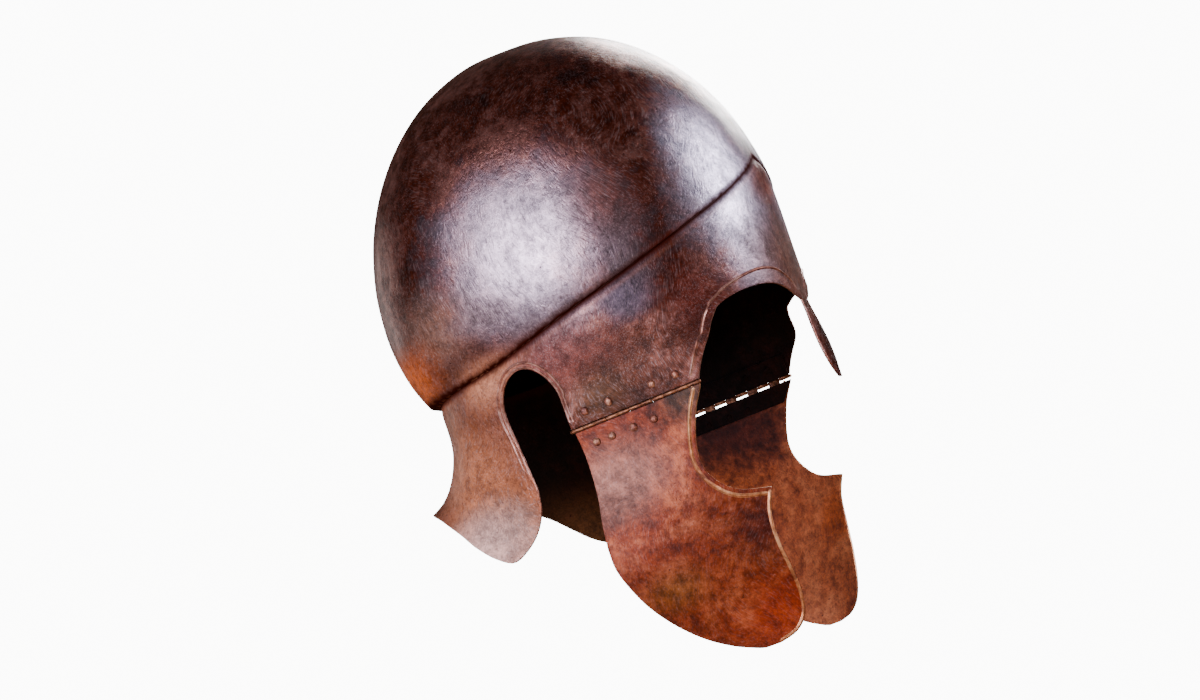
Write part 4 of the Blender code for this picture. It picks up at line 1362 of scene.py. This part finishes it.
# Each patch lies on both sides, and its centre is given on the positive one
BOWL_PATCHES = (
    # Painted highlight: lighter, silvery metal laid where the key light and the front strip light reflect on
    # the dome and brow
    Patch("#bcaab0", (88, -4, -122), (60, 60, 60), 0.95, 0.0),
    Patch("#d2cbd8", (40, -106, -118), (46, 31, 72), 0.95, 0.0),
    # Painted shade: a darker, duller patch on the brow's front that cuts back the strip light's reflection
    Patch("#644030", (0, -113, -168), (56, 32, 36), 0.95, 0.7),
    # Painted shade: darker, duller patches on the forehead's peak and boss, laid over the edge light's
    # reflection there
    Patch("#6c2c14", (6, -115, -128), (20, 18, 11), 0.65, 0.8),
    Patch("#4a2012", (0, -116, -120), (24, 24, 13), 1.0, 1.0),
    # Painted shade: a darker patch that ends the key light's reflection on the dome's front side
    Patch("#5a3228", (84, -54, -112), (26, 24, 28), 0.75, 0.6),
    Patch("#96604a", (80, 30, -172), (14, 22, 12), 0.8, 0.8),
    # Painted highlight: a lighter patch that carries the dome's reflection down towards the rust
    Patch("#8a6450", (80, 66, -144), (30, 36, 28), 0.85, 0.7),
    Patch("#8a7474", (86, 34, -146), (24, 30, 12), 0.8, 0.2),
    Patch("#dc6412", (52, 106, -160), (58, 44, 24), 0.9, 0.85),
    Patch("#4c2208", (84, -30, -204), (40, 80, 48), 0.95, 0.9),
    Patch("#8c4c40", (84, 14, -184), (30, 54, 22), 0.75, 0.75),
    Patch("#d08a62", (74, 48, -178), (34, 30, 18), 0.9, 0.85),
    Patch("#665c68", (82, -46, -166), (24, 18, 14), 0.8, 0.5),
    Patch("#4c1404", (66, -78, -178), (30, 26, 28), 0.85, 0.85),
    Patch("#b87048", (62, 78, -232), (80, 58, 70), 1.0, 0.8),
    # Painted highlight: a light pink-tan streak along the neck guard's flared lower edge
    Patch("#e8bca6", (68, 84, -262), (34, 42, 26), 0.9, 0.4),
    Patch("#54381e", (82, -12, -206), (18, 22, 16), 0.7, 0.6),
)
CHEEK_PATCHES = (
    Patch("#a87460", (82, -4, -254), (30, 44, 26), 0.8, 0.3),
    Patch("#33240f", (82, -58, -225), (26, 24, 19), 0.95, 0.8),
    Patch("#441004", (67, -72, -303), (24, 26, 27), 0.95, 0.8),
    Patch("#a8340a", (72, -66, -348), (40, 36, 24), 0.75, 0.5),
    Patch("#6c4a18", (84, -18, -318), (20, 22, 14), 0.5, 0.5),
)
CHEEK_INNER_PATCHES = (
    # Painted shade: the top of the cheek's inner face, under the hinge, painted near black
    Patch("#4a0c02", (78, -30, -236), (30, 60, 34), 0.9, 0.0),
    Patch("#c0581a", (70, -66, -306), (30, 18, 16), 0.6, 0.3),
)
INNER_PATCHES = (
    Patch("#6a4424", (62, 70, -266), (44, 54, 34), 0.9, 0.3),
)

# Planished bronze sheet under a brown-black patina, with violet-grey painted highlight where the lights
# reflect
BOWL_FINISH = PatinatedBronze("planished_bronze_brown_patina", "#2c0a04", "#54200f", "#86574a", BOWL_PATCHES,
                              metallic=0.8, roughness=0.36, sheen=0.1, lip=0.12)
# Planished bronze sheet under a thinner red-brown patina, a little duller than the bowl
CHEEK_FINISH = PatinatedBronze("planished_bronze_red_patina", "#501606", "#7c300f", "#9c5230", CHEEK_PATCHES,
                               metallic=0.3, roughness=0.48, scratch_share=0.1, sheen=0.15)
# Inner face of the hammered sheet: dark red-brown and dull, its dark patina deepened to near black as painted
# shade
INNER_SHADE_FINISH = PatinatedBronze("scaled_bronze_inner_face", "#080201", "#160502", "#2a0c05", INNER_PATCHES,
                               metallic=0.1, roughness=0.7, scratch_share=0.0, sheen=0.15)
# Inner face of the cheek pieces, lighter and browner than the bowl's inner face
CHEEK_INNER_FINISH = PatinatedBronze("brown_bronze_inner_face", "#7c3414", "#b45c2e", "#c87444",
                                     CHEEK_INNER_PATCHES, metallic=0.15, roughness=0.6, scratch_share=0.03,
                                     sheen=0.3)
# Rims and raised lines: bronze kept bright and tan by handling, made lighter still as painted highlight
RIM_FINISH = PatinatedBronze("rubbed_bronze_rim", "#7a3c1c", "#c47c48", "#e4ac78", metallic=0.6,
                             roughness=0.4, scratch_share=0.1, hammer_bump_mm=0.18)
BOWL_RIM_FINISH = PatinatedBronze("rubbed_bronze_bowl_rim", "#54281c", "#98624c", "#c09684", metallic=0.6,
                                  roughness=0.4, scratch_share=0.1, hammer_bump_mm=0.18)
# Hinge and rivets: forged bronze, brown with bright high spots
HINGE_FINISH = PatinatedBronze("forged_bronze_hinge", "#4c2412", "#885230", "#b07c54", metallic=0.6,
                               roughness=0.4, blotch_mm=12.0, mottle_mm=3.0, scratch_share=0.1,
                               hammer_bump_mm=0.18)
RIVET_FINISH = PatinatedBronze("forged_bronze_rivet", "#40180c", "#7a4028", "#a87858", metallic=0.5,
                               roughness=0.42, blotch_mm=14.0, mottle_mm=2.5, scratch_share=0.1,
                               hammer_bump_mm=0.18)


# Studio


@dataclass(frozen=True)
class SoftBox:
    """A soft rectangular light, placed round the helmet in camera terms."""

    name: str
    right: float
    up: float
    towards: float
    width: float
    height: float
    watts: float
    colour: str = "#ffffff"


@dataclass(frozen=True)
class Studio:
    """The camera at the picture's angle, a pale floor, a pale surround and soft lights."""

    turn: float = 20.0
    roll: float = -20.0
    distance: float = 1.55
    below: float = 0.190
    pixels_per_mm: float = 1.8
    path_mm: float = 1561.6
    sensor: float = 36.0
    image_width: int = 1200
    target: tuple[float, float, float] = (-0.0022, 0.0061, -0.1753)
    floor_height: float = -1.8
    floor_radius: float = 12.0
    floor_rings: int = 8
    floor_sides: int = 64
    nearest: float = 0.05
    farthest: float = 50.0
    lit_middle: tuple[float, float, float] = (0.0, 0.0, -0.14)
    paper: str = "#fbfbfa"
    paper_glow: float = 12.0
    surround: float = 0.07
    surround_colour: str = "#ffd0b0"
    lights: tuple[SoftBox, ...] = (
        SoftBox("key", -0.85, 0.30, 1.15, 1.0, 0.85, 44.0, "#e9e6ff"),
        SoftBox("front_strip", 1.65, 0.42, 0.20, 0.60, 1.0, 42.0, "#ece9ff"),
        SoftBox("edge", 0.58, 0.80, -1.15, 0.3, 0.8, 42.0),
        SoftBox("floor_bounce", 0.1, -1.1, 0.9, 1.2, 0.8, 8.0, "#ffd2b0"),
        SoftBox("back_left", -1.5, 0.4, -1.5, 0.8, 0.8, 4.0),
    )

    def axes(self) -> tuple[Vector, Vector, Vector]:
        """Return the way to the camera, the way right and the way up in the picture, before its roll."""
        angle = math.radians(self.turn)
        towards = Vector((-math.cos(angle), -math.sin(angle), 0))
        up = Vector((0, 0, 1))
        return towards, up.cross(towards), up

    def add_camera(self) -> None:
        """Make the camera and look through it."""
        towards, _, _ = self.axes()
        target = Vector(self.target)
        eye = target + towards * self.distance + Vector((0, 0, -self.below))
        look = (target - eye).to_track_quat("-Z", "Y").to_matrix().to_4x4()
        data = bpy.data.cameras.new("photo_camera")
        data.sensor_width = self.sensor
        data.lens = self.sensor * self.pixels_per_mm * self.path_mm / self.image_width
        data.clip_start, data.clip_end = self.nearest, self.farthest
        camera = bpy.data.objects.new("photo_camera", data)
        roll = Matrix.Rotation(math.radians(self.roll), 4, "Z")
        camera.matrix_world = Matrix.Translation(eye) @ look @ roll
        bpy.context.scene.collection.objects.link(camera)
        bpy.context.scene.camera = camera

    def add_light(self, box: SoftBox) -> None:
        """Place one soft box and turn it to the helmet's middle."""
        towards, right, up = self.axes()
        middle = Vector(self.lit_middle)
        data = bpy.data.lights.new(box.name, "AREA")
        data.shape = "RECTANGLE"
        data.size, data.size_y = box.width, box.height
        data.energy = box.watts
        data.color = linear(box.colour)[:3]
        light = bpy.data.objects.new(box.name, data)
        light.location = middle + right * box.right + up * box.up + towards * box.towards
        light.rotation_mode = "QUATERNION"
        light.rotation_quaternion = (middle - light.location).to_track_quat("-Z", "Y")
        light.visible_camera = False
        bpy.context.scene.collection.objects.link(light)

    def add_floor(self) -> None:
        """Lay a wide white floor that only the camera sees."""
        rings = np.linspace(0, self.floor_radius, self.floor_rings)[:, None]
        profile = np.hstack([rings, np.full_like(rings, self.floor_height)])
        grid = turned(profile, self.floor_sides)
        sheet = Sheet()
        sheet.add(grid / MM, closed=True)
        floor = bpy.data.objects.new("pale_floor", sheet.mesh("pale_floor"))
        finish = bpy.data.materials.new("lit_white_paper")
        finish.use_nodes = True
        tree = finish.node_tree
        tree.nodes.clear()
        glow = add_node(tree, "Emission", None, {"Color": linear(self.paper), "Strength": self.paper_glow})
        add_node(tree, "OutputMaterial", None, {"Surface": glow.outputs[0]})
        floor.data.materials.append(finish)
        floor.visible_diffuse = floor.visible_glossy = floor.visible_shadow = False
        bpy.context.scene.collection.objects.link(floor)

    def add_world(self) -> None:
        """Surround the helmet: white as seen by the camera, dim and warm as a light on the bronze."""
        world = bpy.data.worlds.new("studio")
        world.use_nodes = True
        tree = world.node_tree
        tree.nodes.clear()
        path = add_node(tree, "LightPath")
        seen = add_node(tree, "Background", None, {"Color": linear(self.paper), "Strength": self.paper_glow})
        light = add_node(tree, "Background", None, {"Color": linear(self.surround_colour),
                                                "Strength": self.surround})
        both = add_node(tree, "MixShader", None, {0: path.outputs["Is Camera Ray"], 1: light.outputs[0],
                                                  2: seen.outputs[0]})
        add_node(tree, "OutputWorld", None, {"Surface": both.outputs[0]})
        bpy.context.scene.world = world

    def build(self) -> None:
        """Set up camera, lights, floor and surround."""
        self.add_camera()
        for box in self.lights:
            self.add_light(box)
        self.add_floor()
        self.add_world()
        log.info("studio with %d lights", len(self.lights))


def main() -> None:
    """Build the helmet's pieces in order and set up the studio."""
    logging.basicConfig(level=logging.INFO, format="%(name)s: %(message)s")
    bowl_finish, cheek_finish = BOWL_FINISH.material(), CHEEK_FINISH.material()
    inner_shade_finish, cheek_inner = INNER_SHADE_FINISH.material(), CHEEK_INNER_FINISH.material()
    rim_finish, bowl_rim = RIM_FINISH.material(), BOWL_RIM_FINISH.material()
    hinge_finish, rivet_finish = HINGE_FINISH.material(), RIVET_FINISH.material()
    bowl = Bowl()
    bowl.dress(bowl_finish, inner_shade_finish, bowl_rim)
    BowlLines(bowl).dress(bowl_rim)
    for side in Side:
        CheekPiece(side).dress(cheek_finish, cheek_inner, rim_finish)
        Hinge(side).dress(hinge_finish, rivet_finish, inner_shade_finish)
    dressed = {"helmet_bowl": bowl_finish, "cheek": cheek_finish, "hinge": hinge_finish,
               "rivet": rivet_finish}
    for name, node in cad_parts.items():
        material = next(finish for word, finish in dressed.items() if name.startswith(word))
        node.data.materials.clear()
        node.data.materials.append(material)
    Studio().build()


if __name__ == "__main__":
    main()
